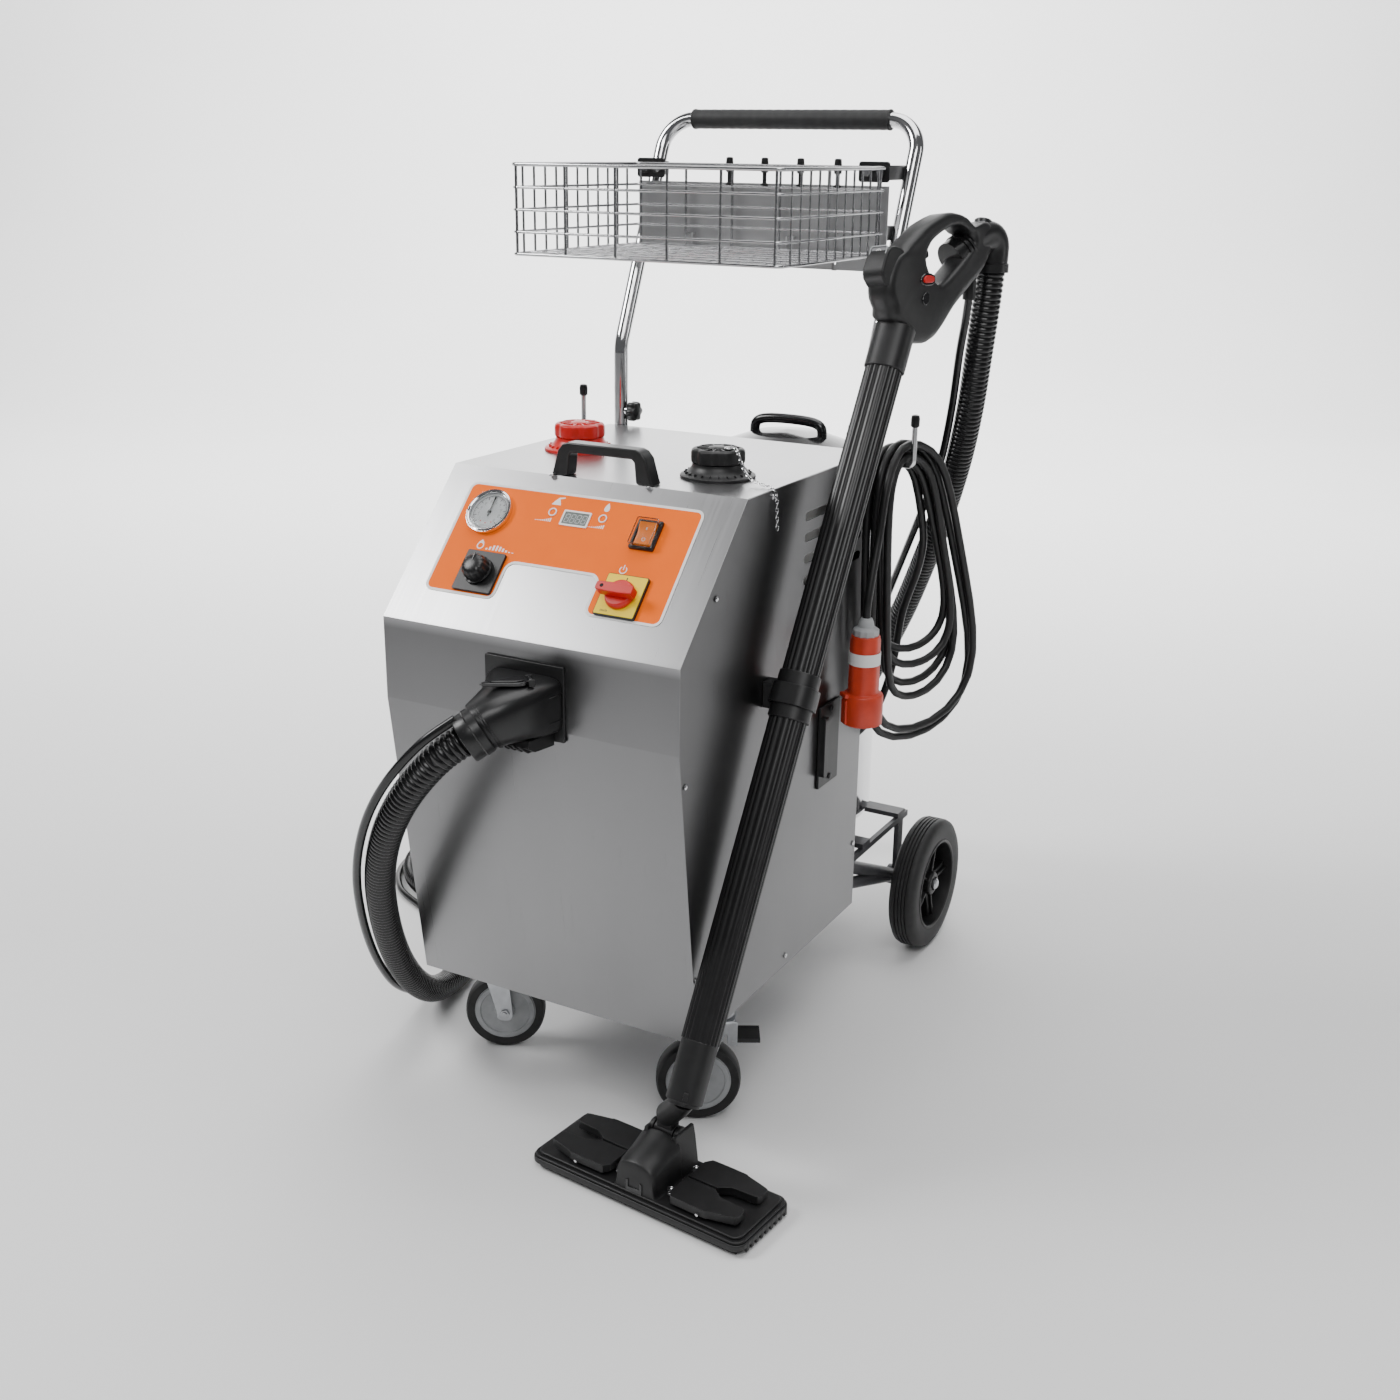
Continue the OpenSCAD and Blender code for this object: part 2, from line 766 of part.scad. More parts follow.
module tray_arm(side, z, y0) {
    leg_y = post_y + kink_r * (1 - cos(handle_lean)) + (z - kink_z - kink_r * sin(handle_lean)) * tan(handle_lean);
    difference() {
        block([side * 196 - 7, side * 196 + 7], [y0, leg_y], [z - 10, z + 10]);
        on_lean(-20) translate([side * post_x, 0, 0]) cylinder(r = tube_d / 2 + 0.1, h = lean_len);
    }
}

module tool_tray() {
    color("silver")
        difference() {
            union() {
                block([-tray_half, tray_half], [tray_y, tray_y + sheet], tray_z);
                block([-tray_half, tray_half], [tray_y - tray_lip[0], tray_y + sheet], [tray_z[0] - sheet, tray_z[0]]);
                block([-tray_half, tray_half], [tray_y - tray_lip[0], tray_y - tray_lip[0] + sheet],
                    [tray_z[0] - tray_lip[1], tray_z[0]]);
            }
            for (x = [-lip_hole_x, lip_hole_x])
                along_y(x, tray_y - tray_lip[0] - 5, tray_y - tray_lip[0] + 5, lip_hole_z, lip_hole_r);
            for (x = [-112, 56])
                block([x - 3.5, x + 3.5], [tray_y - 3, tray_y + 3], [tray_z[0] + 4, tray_z[0] + 22]);
        }
    color("black")
        for (side = [-1, 1]) {
            tray_arm(side, 1190, tray_y + sheet / 2);
            difference() {
                union() {
                    tray_arm(side, 1272, tray_y);
                    rounded_plate_xz(side > 0 ? [159, 205] : [-205, -159], [1260, 1286], [tray_y - 4, tray_y]);
                }
                for (x = [171, 192])
                    along_y(side * x, tray_y - 10, tray_y - 1, 1273, 6);
            }
        }
    color("dimgray")
        for (x = [-50, 8, 66, 125]) {
            translate([x, tray_y + sheet / 2, tray_z[1] + 0.1]) cylinder(r = 3, h = 36);
        }
}

module grille(w, h, columns, rows) {
    dx = (w - wire) / columns;
    dy = (h - wire) / rows;
    difference() {
        square([w, h]);
        for (i = [0 : columns - 1])
            for (j = [0 : rows - 1])
                translate([wire + i * dx, wire + j * dy]) square([dx - wire, dy - wire]);
    }
}

module wire_basket() {
    w = 2 * tray_half;
    d = basket_y[1] - basket_y[0];
    h = basket_z[1] - basket_z[0];
    color("silver")
        translate([-tray_half, basket_y[0], basket_z[0]]) {
            linear_extrude(wire) grille(w, d, 10, 8);
            for (y = [wire, d])
                translate([0, y, 0]) rotate([90, 0, 0]) linear_extrude(wire) grille(w, h, 5, 4);
            for (x = [0, w - wire])
                translate([x, 0, 0]) rotate([90, 0, 90]) linear_extrude(wire) grille(d, h, 12, 4);
        }
}

module storage_hooks() {
    hook_x = 281;
    hook_z = 872;
    mirrored() {
        color("silver") {
            along_x(post_x + tube_d / 2 + 0.1, hook_x - 8, post_y, hook_z, 4);
            translate([hook_x - 8, post_y, hook_z + 8])
                rotate([90, 0, 0])
                    rotate([0, 0, -90]) rotate_extrude(angle = 90) translate([8, 0]) circle(r = 4);
            translate([hook_x, post_y, hook_z + 8]) cylinder(r = 4, h = 50);
        }
        color("black") translate([hook_x, post_y, hook_z + 58]) cylinder(r = 6, h = 8);
    }
}

/* Rear frame and wheels */

module strut(a, b, r) {
    translate(a) turned_to(b - a) cylinder(r = r, h = norm(b - a));
}

module rear_frame() {
    color("dimgray") {
        difference() {
            union() {
                for (side = [-1, 1]) {
                    strut([side * 196, rear_y - 2, 232], [side * 196, axle_y, axle_z], 11);
                    strut([side * 196, rear_y - 2, 196], [side * 196, axle_y, axle_z], 10);
                    along_x(side * 196 - 14, side * 196 + 14, axle_y, axle_z, 17);
                    block([side * 196 - 16, side * 196 + 16], [rear_y - 2, rear_y + 4], [180, 252]);
                    block([side * 196 - 4, side * 196 + 4], [rear_y + 2, axle_y + 30], [214, 224]);
                    block([side * 196 - 4, side * 196 + 4], [axle_y - 10, axle_y + 10], [axle_z, 220]);
                }
                block([-200, 200], [drum_at[1] - 90, drum_at[1] - 60], [224, 232]);
                block([-200, 200], [drum_at[1] + 60, drum_at[1] + 90], [224, 232]);
            }
            along_x(-300, 300, axle_y, axle_z, axle_r + 0.02);
        }
    }
    color("silver") along_x(-wheel_x - wheel_w / 2 + 4, wheel_x + wheel_w / 2 - 4, axle_y, axle_z, axle_r);
}

module wheel_hub() {
    difference() {
        union() {
            difference() {
                along_x(-wheel_w / 2 + 2, wheel_w / 2 - 2, 0, 0, rim_r);
                along_x(-wheel_w / 2 - 1, wheel_w / 2 + 1, 0, 0, rim_r - 6);
            }
            along_x(-wheel_w / 2 + 1, wheel_w / 2 - 8, 0, 0, 22);
            for (a = [0 : 72 : 359])
                rotate([a, 0, 0])
                    block([-10, 4], [-9, 9], [18, rim_r - 3]);
        }
        along_x(-wheel_w, wheel_w, 0, 0, axle_r + fit);
    }
}

module wheel_tyre() {
    difference() {
        union() {
            along_x(-wheel_w / 2, wheel_w / 2, 0, 0, rear_wheel_d / 2 - 5);
            along_x(-wheel_w / 2 + 5, wheel_w / 2 - 5, 0, 0, rear_wheel_d / 2);
        }
        along_x(-wheel_w, wheel_w, 0, 0, rim_r + 0.02);
    }
}

module at_wheel(side) {
    translate([side * wheel_x, axle_y, axle_z]) mirror([side < 0 ? 1 : 0, 0, 0]) children();
}

module wheel_hub_left() {
    color("black") at_wheel(-1) wheel_hub();
}

module wheel_hub_right() {
    color("black") at_wheel(1) wheel_hub();
}

module wheel_tyre_left() {
    color("dimgray") at_wheel(-1) wheel_tyre();
}

module wheel_tyre_right() {
    color("dimgray") at_wheel(1) wheel_tyre();
}

/* Casters: local X is the rolling direction, with the wheel trailing the kingpin */

module at_caster(side, turn) {
    translate([side * caster_at[0], caster_at[1], 0]) rotate([0, 0, turn]) children();
}

module caster_fork() {
    top = base_z - 4;
    difference() {
        union() {
            translate([0, 0, top - 10]) cylinder(r = 24, h = 10 - gap);
            for (side = [-1, 1])
                hull() {
                    translate([-20, side * 20 - 1.5, top - 12]) cube([46, 3, 3]);
                    translate([caster_trail, side * 20 + 1.5, caster_d / 2])
                        rotate([90, 0, 0]) cylinder(r = 12, h = 3, $fn = hull_fn);
                }
            translate([-20, -21, top - 13]) cube([46, 42, 4]);
            along_y(caster_trail, -24, 24, caster_d / 2, 5);
        }
        translate([0, 0, top - 30]) cylinder(r = kingpin_r + fit, h = 40);
    }
}

module caster_plate(side) {
    translate([side * caster_at[0], caster_at[1], 0]) {
        translate([0, 0, base_z - 4]) cylinder(r = 24, h = 5);
        translate([0, 0, base_z - 24]) cylinder(r = kingpin_r, h = 22);
    }
}

module caster_wheel() {
    difference() {
        union() {
            along_y(caster_trail, -caster_w / 2 + 3, caster_w / 2 - 3, caster_d / 2, caster_d / 2);
            along_y(caster_trail, -caster_w / 2, caster_w / 2, caster_d / 2, caster_d / 2 - 4);
        }
        along_y(caster_trail, -50, 50, caster_d / 2, 5 + fit);
    }
}

module caster_fork_left() {
    color("lightgray") at_caster(-1, caster_left_turn) caster_fork();
}

module caster_fork_right() {
    color("lightgray")
        at_caster(1, caster_right_turn) {
            caster_fork();
            for (y = [[-22, -19], [19, 22]])
                block([pedal_at[0] - 6, pedal_at[0] + 8], y, [pedal_at[1] - 6, base_z - 14]);
            along_y(pedal_at[0], -22, 22, pedal_at[1], 2.5);
        }
}

module caster_wheel_left() {
    color("gray") at_caster(-1, caster_left_turn) caster_wheel();
}

module caster_wheel_right() {
    color("gray") at_caster(1, caster_right_turn) caster_wheel();
}

module brake_pedal() {
    color("black")
        at_caster(1, caster_right_turn)
            difference() {
                union() {
                    along_y(pedal_at[0], -18.4, 18.4, pedal_at[1], 5.5);
                    block([pedal_at[0] - 38, pedal_at[0]], [-18.4, 18.4], [pedal_at[1] - 3, pedal_at[1] + 3]);
                }
                along_y(pedal_at[0], -30, 30, pedal_at[1], 2.5 + fit);
            }
}

/* Vacuum drum and head */

module vacuum_drum() {
    color("silver")
        translate([drum_at[0], drum_at[1], 0])
            difference() {
                rotate_extrude()
                    polygon([
                        [0, drum_z[0]], [drum_r - 14, drum_z[0]], [drum_r - 4, drum_z[0] + 4],
                        [drum_r, drum_z[0] + 14], [drum_r, drum_z[1] - 6], [drum_r + 5, drum_z[1] - 6],
                        [drum_r + 5, drum_z[1]], [0, drum_z[1]]
                    ]);
                translate([0, 0, drum_z[0] + 4]) cylinder(r = drum_r - 14, h = 600);
                translate([0, 0, drum_z[0] + 16]) cylinder(r = drum_r - 2, h = 600);
                translate([0, -drum_r - 20, duct_z]) rotate([-90, 0, 0]) cylinder(r = duct_r + 1, h = 60);
            }
}

function head_line(r, z, cut) = [
    [0, head_z - cut], [r - 100, z + 172 - cut], [r - 60 - cut / 2, z + 158 - cut],
    [r - 26 - cut, z + 130 - cut], [r - 4 - cut, z + 90 - cut / 2], [r + 6 - cut, z + 30]
];

module vacuum_head() {
    seat = drum_z[1] + gap;
    color("black")
        translate([drum_at[0], drum_at[1], 0]) {
            rotate_extrude()
                polygon(concat(
                    head_line(drum_r, drum_z[1], 0), [[drum_r + 6, seat], [drum_r + 2, seat]],
                    [for (i = [5 : -1 : 0]) head_line(drum_r, drum_z[1], 4)[i]]
                ));
            difference() {
                translate([0, 0, drum_z[1] - 60]) cylinder(r = 80, h = 90);
                translate([0, 0, drum_z[1] - 61]) cylinder(r = 60, h = 60);
            }
            difference() {
                translate([0, 0, seat]) cylinder(r = drum_r + 3, h = 4);
                translate([0, 0, seat - 1]) cylinder(r = 70, h = 6);
            }
        }
}

/* Wand, gun and floor tool */

module along_wand(s) {
    translate(wand_foot)
        rotate([-wand_tilt, wand_yaw, 0])
            translate([0, 0, s])
                children();
}

module oval(h, rx, ry) {
    translate([-(rx - ry), 0, 0]) cylinder(r = ry, h = h);
    translate([rx - ry, 0, 0]) cylinder(r = ry, h = h);
    translate([-(rx - ry), -ry, 0]) cube([2 * (rx - ry), 2 * ry, h]);
}

module wand_tubes() {
    color("black") {
        difference() {
            union() {
                along_wand(0) oval(78, 24, 20);
                along_wand(78) oval(432, 26, 20);
                along_wand(510) oval(60, 28, 22);
                along_wand(570) oval(430, 26, 20);
                along_wand(1000) oval(wand_len - 1000, 28, 22);
            }
            along_wand(8) oval(wand_len, 20, 17);
        }
        difference() {
            strut(neck_top, wand_foot, 16);
            along_wand(0.1) oval(40, 26, 22);
        }
        on_tool()
            difference() {
                union() {
                    along_x(-15, 15, neck_pivot[0], neck_pivot[1], 12);
                    block([-11, 12], [neck_pivot[0] - 9, neck_pivot[0] + 9], [neck_pivot[1], neck_top[2] + 2]);
                }
                along_x(-20, 20, neck_pivot[0], neck_pivot[1], 4 + fit);
            }
    }
    color("black") {
        difference() {
            block([half_w + 0.1, 262], [222, 246], [600, 636]);
            along_wand(500) oval(80, 27, 21);
        }
        block([half_w + 0.1, half_w + 4], [404, 470], [420, 545]);
        block([half_w + 3, half_w + 12], [404, 416], [440, 530]);
    }
}

// The gun lies in a plane through the wand's axis, turned by gun_roll: y is out of the axis, z along it
module on_gun() {
    along_wand(wand_len) rotate([0, 0, -gun_roll]) children();
}

module gun_body() {
    color("black") {
        on_gun()
            difference() {
                union() {
                    across(-gun_half, gun_half)
                        difference() {
                            polygon(gun_outline);
                            polygon(gun_hole);
                        }
                    block([-17, 17], [-66, -48], [52, 84]);
                }
                block([-9, 9], [-14, 12], [104, 142]);
                block([gun_half - 8, gun_half + 1], [8, 28], [74, 88]);
                for (z = [60, 76])
                    block([-13.4, 13.4], [-70, -58], [z - 6.4, z + 6.4]);
                across(-gun_half + 3, gun_half - 3) polygon(gun_cavity);
            }
        on_gun() along_x(-10, 10, trigger_pin[0], trigger_pin[1], 1.5);
        strut(gun_spout, gun_elbow, 22);
        translate(gun_elbow) sphere(r = 24);
        translate([gun_elbow[0], gun_elbow[1], hose_top[2]])
            cylinder(r = 24, h = gun_elbow[2] - hose_top[2]);
        translate(line_top) cylinder(r = 9, h = 34);
    }
}

module gun_trigger() {
    color("black")
        on_gun()
            difference() {
                across(-8, 8)
                    polygon([[-5, 106], [8, 106], [18, 118], [12, 134], [-2, 140], [-12, 140], [-12, 132]]);
                along_x(-20, 20, trigger_pin[0], trigger_pin[1], 1.5 + fit);
            }
}

module gun_lock() {
    color("red") on_gun() block([gun_half - 7.6, gun_half + 3], [14, 26], [75, 87]);
}

module gun_button(z) {
    color("gray") on_gun() block([-13, 13], [-69, -61], [z - 6, z + 6]);
}

module gun_button_up() {
    gun_button(76);
}

module gun_button_down() {
    gun_button(60);
}

module on_tool() {
    translate(tool_at) rotate([0, 0, tool_yaw]) children();
}

module floor_tool() {
    half_x = tool_size[0] / 2;
    half_y = tool_size[1] / 2;
    color("black")
        on_tool() {
            difference() {
                union() {
                    rounded_plate([-half_x, half_x], [-half_y, half_y], [0, 20], 14);
                    rounded_plate([-half_x + 8, half_x - 8], [-half_y + 8, half_y - 8], [19, 24], 10);
                    hull() {
                        translate([0, -half_y + 12, 46]) rotate([-90, 0, 0]) cylinder(r = 26, h = 2, $fn = hull_fn);
                        translate([0, half_y - 30, 56]) rotate([-90, 0, 0]) cylinder(r = 26, h = 2, $fn = hull_fn);
                        block([-34, 34], [-half_y + 10, half_y - 20], [20, 24]);
                    }
                    for (x = [[-23, -16], [16, 23]])
                        along_x(x[0], x[1], neck_pivot[0], neck_pivot[1], 12);
                }
                rounded_plate([-half_x + 12, half_x - 12], [-half_y + 12, half_y - 12], [-1, 12], 8);
                block([-16, 16], [neck_pivot[0] - 17, half_y], [neck_pivot[1] - 14, neck_pivot[1] + 20]);
            }
            along_x(-22, 22, neck_pivot[0], neck_pivot[1], 4);
            for (x = [-clip_pin_x, clip_pin_x]) {
                along_y(x, -clip_pin_end, clip_pin_end, clip_pin_z, 2);
                for (y = [[-clip_pin_end, -48.6], [-1.6, 1.6], [48.6, clip_pin_end]])
                    block([x - 5, x + 5], y, [23, clip_pin_z + 4]);
            }
        }
}

module tool_clip(side, back) {
    color("black")
        on_tool()
            mirror([side < 0 ? 1 : 0, 0, 0])
                mirror([0, back ? 0 : 1, 0])
                    difference() {
                        translate([0, 2, 28])
                            linear_extrude(12)
                                polygon([[48, 0], [92, 0], [140, 14], [146, 34], [128, 46], [60, 46], [48, 34]]);
                        along_y(clip_pin_x, -80, 80, clip_pin_z, 2 + fit);
                    }
}

module tool_clip_front_left() { tool_clip(-1, false); }

module tool_clip_front_right() { tool_clip(1, false); }

module tool_clip_rear_left() { tool_clip(-1, true); }

module tool_clip_rear_right() { tool_clip(1, true); }

/* Free hose and leads */

module suction_hose() {
    color("black") swept_tube(hose_route, hose_d / 2, [0, 0, 1], 12);
}

module steam_line() {
    color("black") swept_tube(line_route, 6, [0, 0, 1], 8);
}

module power_lead() {
    color("black") {
        swept_tube(lead_route, lead_d / 2, [1, 0, 0]);
        swept_tube(tail_route, lead_d / 2, [1, 0, 0]);
    }
}

module lead_hank() {
    color("black")
        across(232, 274)
            difference() {
                hull() {
                    translate([605, 800]) circle(r = 112, $fn = hull_fn);
                    translate([635, 546]) circle(r = 118, $fn = hull_fn);
                }
                hull() {
                    translate([605, 820]) circle(r = 66, $fn = hull_fn);
                    translate([635, 580]) circle(r = 62, $fn = hull_fn);
                }
            }
}

module mains_plug() {
    translate([plug_top[0], plug_top[1], 0]) {
        color("gray") translate([0, 0, plug_top[2] - 28]) cylinder(r = 13, h = 28);
        color("red") translate([0, 0, plug_top[2] - 110]) cylinder(r = 22, h = 83);
        color("red") translate([0, 0, plug_top[2] - 157]) cylinder(r = 29, h = 48);
    }
}

chassis();
front_cover();
side_panels();
rear_panel();
control_overlay();
pressure_gauge();
gauge_needle();
gauge_glass();
display_module();
switch_frames();
rocker_switch();
main_switch_knob();
regulator_knob();
deck_handle();
water_filler();
water_cap();
cap_chain();
tanks();
detergent_cap();
boiler();
water_pump();
suction_duct();
hose_coupling();
coupling_latch();
handle_posts();
handle_frame();
handle_grip();
star_knob_left();
star_knob_right();
tool_tray();
wire_basket();
storage_hooks();
rear_frame();
wheel_hub_left();
wheel_hub_right();
wheel_tyre_left();
wheel_tyre_right();
caster_fork_left();
caster_fork_right();
caster_wheel_left();
caster_wheel_right();
brake_pedal();
vacuum_drum();
vacuum_head();
wand_tubes();
gun_body();
gun_trigger();
gun_lock();
gun_button_up();
gun_button_down();
floor_tool();
tool_clip_front_left();
tool_clip_front_right();
tool_clip_rear_left();
tool_clip_rear_right();
suction_hose();
steam_line();
power_lead();
lead_hank();
mains_plug();
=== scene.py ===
import math

import bmesh
import bpy
from mathutils import Matrix, Vector


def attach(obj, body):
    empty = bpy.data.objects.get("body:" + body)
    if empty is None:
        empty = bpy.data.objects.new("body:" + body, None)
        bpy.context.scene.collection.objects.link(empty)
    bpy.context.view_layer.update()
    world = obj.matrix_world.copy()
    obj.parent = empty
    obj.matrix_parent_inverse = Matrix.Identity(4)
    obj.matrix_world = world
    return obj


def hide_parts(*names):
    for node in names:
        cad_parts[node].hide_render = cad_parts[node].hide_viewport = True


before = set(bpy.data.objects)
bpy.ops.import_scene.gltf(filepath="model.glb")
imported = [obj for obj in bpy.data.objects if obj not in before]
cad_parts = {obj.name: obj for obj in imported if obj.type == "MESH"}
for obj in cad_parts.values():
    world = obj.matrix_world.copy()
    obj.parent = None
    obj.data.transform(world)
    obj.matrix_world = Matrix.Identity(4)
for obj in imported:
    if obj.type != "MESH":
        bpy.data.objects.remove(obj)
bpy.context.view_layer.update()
MM = 0.001

# ---------------------------------------------------------------- camera
CAM_AT = (1.13766, -1.60971, 1.30404)
CAM_AZ = 0.50250559
CAM_EL = 0.32757689
CAM_ROLL = 0.01306718


def add_camera():
    view = Vector((-math.sin(CAM_AZ) * math.cos(CAM_EL), math.cos(CAM_AZ) * math.cos(CAM_EL), -math.sin(CAM_EL)))
    right = view.cross(Vector((0, 0, 1))).normalized()
    up = right.cross(view)
    rolled = math.cos(CAM_ROLL) * right + math.sin(CAM_ROLL) * up
    rolled_up = -math.sin(CAM_ROLL) * right + math.cos(CAM_ROLL) * up
    data = bpy.data.cameras.new("camera")
    data.sensor_width = 36
    data.lens = 41.89
    data.clip_end = 60
    cam = bpy.data.objects.new("camera", data)
    cam.matrix_world = Matrix.Translation(CAM_AT) @ Matrix((rolled, rolled_up, -view)).transposed().to_4x4()
    bpy.context.collection.objects.link(cam)
    bpy.context.scene.camera = cam


add_camera()


# ---------------------------------------------------------------- materials
def principled(name):
    m = bpy.data.materials.new(name)
    m.use_nodes = True
    return m, m.node_tree, m.node_tree.nodes["Principled BSDF"]


def link_noise(tree, scale, stretch, detail=3.0):
    coord = tree.nodes.new("ShaderNodeTexCoord")
    mapping = tree.nodes.new("ShaderNodeMapping")
    mapping.inputs["Scale"].default_value = stretch
    noise = tree.nodes.new("ShaderNodeTexNoise")
    noise.inputs["Scale"].default_value = scale
    noise.inputs["Detail"].default_value = detail
    tree.links.new(coord.outputs["Object"], mapping.inputs["Vector"])
    tree.links.new(mapping.outputs["Vector"], noise.inputs["Vector"])
    return noise


def ramp(tree, source, low, high, start=0.3, end=0.7):
    node = tree.nodes.new("ShaderNodeValToRGB")
    node.color_ramp.elements[0].position = start
    node.color_ramp.elements[1].position = end
    node.color_ramp.elements[0].color = (*low, 1)
    node.color_ramp.elements[1].color = (*high, 1)
    tree.links.new(source.outputs["Fac"], node.inputs["Fac"])
    return node


def spread(tree, source, low, high):
    node = tree.nodes.new("ShaderNodeMapRange")
    node.inputs["To Min"].default_value = low
    node.inputs["To Max"].default_value = high
    tree.links.new(source.outputs["Fac"], node.inputs["Value"])
    return node


def surface(name, color, rough, metal=0.0, vary=0.06, scale=30.0, stretch=(1, 1, 1), grain=None, bump=0.1,
            bump_mm=0.05, coat=0.0, spec=0.5):
    """Colour mottling at one scale, roughness at the same, and bump from a finer grain."""
    m, tree, shader = principled(name)
    mottle = link_noise(tree, scale, stretch)
    low = [c * (1 - vary) for c in color]
    high = [min(1, c * (1 + vary)) for c in color]
    tint = ramp(tree, mottle, low, high)
    tree.links.new(tint.outputs["Color"], shader.inputs["Base Color"])
    fine = link_noise(tree, grain[0] if grain else scale * 12, grain[1] if grain else (1, 1, 1), 4)
    rough_range = spread(tree, fine, rough[0], rough[1])
    tree.links.new(rough_range.outputs["Result"], shader.inputs["Roughness"])
    node = tree.nodes.new("ShaderNodeBump")
    node.inputs["Strength"].default_value = bump
    node.inputs["Distance"].default_value = bump_mm * MM
    tree.links.new(fine.outputs["Fac"], node.inputs["Height"])
    tree.links.new(node.outputs["Normal"], shader.inputs["Normal"])
    shader.inputs["Metallic"].default_value = metal
    shader.inputs["Coat Weight"].default_value = coat
    shader.inputs["Specular IOR Level"].default_value = spec
    return m


def steel_with_painted_reflection(name, painted_reflection_levels, grain):
    """Brushed steel with painted reflection and shade: its brightness changes with height to stand in for the light it
    mirrors. Each entry is (height in metres, brightness).
    """
    m = surface(name, (0.92, 0.92, 0.925), (0.24, 0.36), 1.0, 0.08, 3.0, (1, 1, 0.3), (1.0, grain), 0.1, 0.03)
    tree, shader = m.node_tree, m.node_tree.nodes["Principled BSDF"]
    mottled = shader.inputs["Base Color"].links[0].from_socket
    coord = tree.nodes.new("ShaderNodeTexCoord")
    split = tree.nodes.new("ShaderNodeSeparateXYZ")
    tree.links.new(coord.outputs["Object"], split.inputs["Vector"])
    # painted reflection and shade: a brightness ramp by height multiplies the mottled steel colour
    painted_reflection_ramp = tree.nodes.new("ShaderNodeValToRGB")
    steps = painted_reflection_ramp.color_ramp.elements
    while len(steps) < len(painted_reflection_levels):
        steps.new(0.5)
    for step, (height, level) in zip(steps, painted_reflection_levels):
        step.position = height
        step.color = (level, level, level * 1.01, 1)
    tree.links.new(split.outputs["Z"], painted_reflection_ramp.inputs["Fac"])
    mix = tree.nodes.new("ShaderNodeMix")
    mix.data_type = "RGBA"
    mix.blend_type = "MULTIPLY"
    mix.inputs["Factor"].default_value = 1.0
    tree.links.new(mottled, mix.inputs["A"])
    tree.links.new(painted_reflection_ramp.outputs["Color"], mix.inputs["B"])
    tree.links.new(mix.outputs["Result"], shader.inputs["Base Color"])
    return m


# Painted reflection on the steel. steel_front is dark below the fold at 0.713 m and bright on the sloped control face
# and deck above it. steel_side is lighter near the bottom and darker towards the top.
STEEL = steel_with_painted_reflection("steel_front", [(0.16, 0.34), (0.45, 0.26), (0.7, 0.18), (0.716, 0.42), (0.88, 0.46), (0.9, 0.56)],
                    (900, 5, 5))
STEEL_SIDE = steel_with_painted_reflection("steel_side", [(0.16, 0.32), (0.4, 0.2), (0.75, 0.11)], (5, 900, 5))
STEEL_PLATE = surface("steel_plate", (0.5, 0.5, 0.505), (0.3, 0.4), 1.0, 0.05, 6.0, (1, 1, 1),
                      (1.0, (5, 5, 500)), 0.06, 0.02)
CHROME = surface("chrome", (0.78, 0.78, 0.79), (0.06, 0.13), 1.0, 0.04, 20.0)
WIRE = surface("basket_wire", (0.5, 0.5, 0.51), (0.14, 0.24), 1.0, 0.06, 20.0)
ZINC = surface("zinc", (0.5, 0.51, 0.53), (0.25, 0.42), 1.0, 0.12, 60.0, bump=0.2)
DARK_STEEL = surface("dark_steel", (0.05, 0.05, 0.055), (0.35, 0.5), 0.3, 0.15, 40.0, bump=0.3)
BLACK = surface("black_plastic", (0.009, 0.009, 0.0095), (0.36, 0.5), 0.0, 0.2, 60.0, grain=(900, (1, 1, 1)),
                bump=0.35, bump_mm=0.06)
BLACK_SATIN = surface("black_satin", (0.009, 0.009, 0.0095), (0.28, 0.38), 0.0, 0.15, 40.0,
                      grain=(600, (1, 1, 1)), bump=0.15, bump_mm=0.04)
BLACK_GLOSS = surface("black_gloss", (0.01, 0.01, 0.011), (0.12, 0.2), 0.0, 0.1, 20.0, coat=0.3)
RUBBER = surface("rubber", (0.015, 0.015, 0.0155), (0.5, 0.68), 0.0, 0.25, 70.0, grain=(1200, (1, 1, 1)),
                 bump=0.4, bump_mm=0.08)
HOSE = surface("hose", (0.008, 0.008, 0.0085), (0.2, 0.3), 0.0, 0.2, 50.0, bump=0.1)
LEAD = surface("lead", (0.008, 0.008, 0.0085), (0.36, 0.48), 0.0, 0.2, 50.0, bump=0.2)
RED = surface("red_plastic", (0.6, 0.012, 0.01), (0.28, 0.38), 0.0, 0.08, 50.0, bump=0.2)
PLUG_RED = surface("plug_red", (0.6, 0.05, 0.02), (0.33, 0.45), 0.0, 0.1, 50.0, bump=0.2)
YELLOW = surface("yellow_plate", (0.95, 0.7, 0.0), (0.5, 0.6), 0.0, 0.04, 60.0, bump=0.15)
ORANGE = surface("orange_film", (1.0, 0.155, 0.0), (0.55, 0.65), 0.0, 0.03, 30.0, bump=0.05, spec=0.15)
WHITE = surface("white_print", (0.85, 0.85, 0.84), (0.4, 0.5), 0.0, 0.02, 60.0, bump=0.05)
GREY = surface("grey_plastic", (0.2, 0.2, 0.21), (0.4, 0.52), 0.0, 0.08, 60.0, bump=0.2)
LIGHT_GREY = surface("light_grey", (0.42, 0.43, 0.44), (0.4, 0.55), 0.0, 0.1, 60.0, bump=0.25)
DISC = surface("caster_disc", (0.38, 0.39, 0.4), (0.35, 0.5), 0.0, 0.12, 50.0, bump=0.25)
DIAL = surface("dial_face", (0.66, 0.67, 0.68), (0.45, 0.55), 0.0, 0.02, 60.0, bump=0.05)
SCREEN = surface("lcd", (0.16, 0.18, 0.17), (0.15, 0.22), 0.0, 0.05, 90.0, bump=0.05)
AMBER = surface("amber", (0.95, 0.22, 0.02), (0.12, 0.2), 0.0, 0.06, 40.0, coat=0.4)
TANK = surface("tank_plastic", (0.7, 0.7, 0.68), (0.4, 0.5), 0.0, 0.05, 30.0)


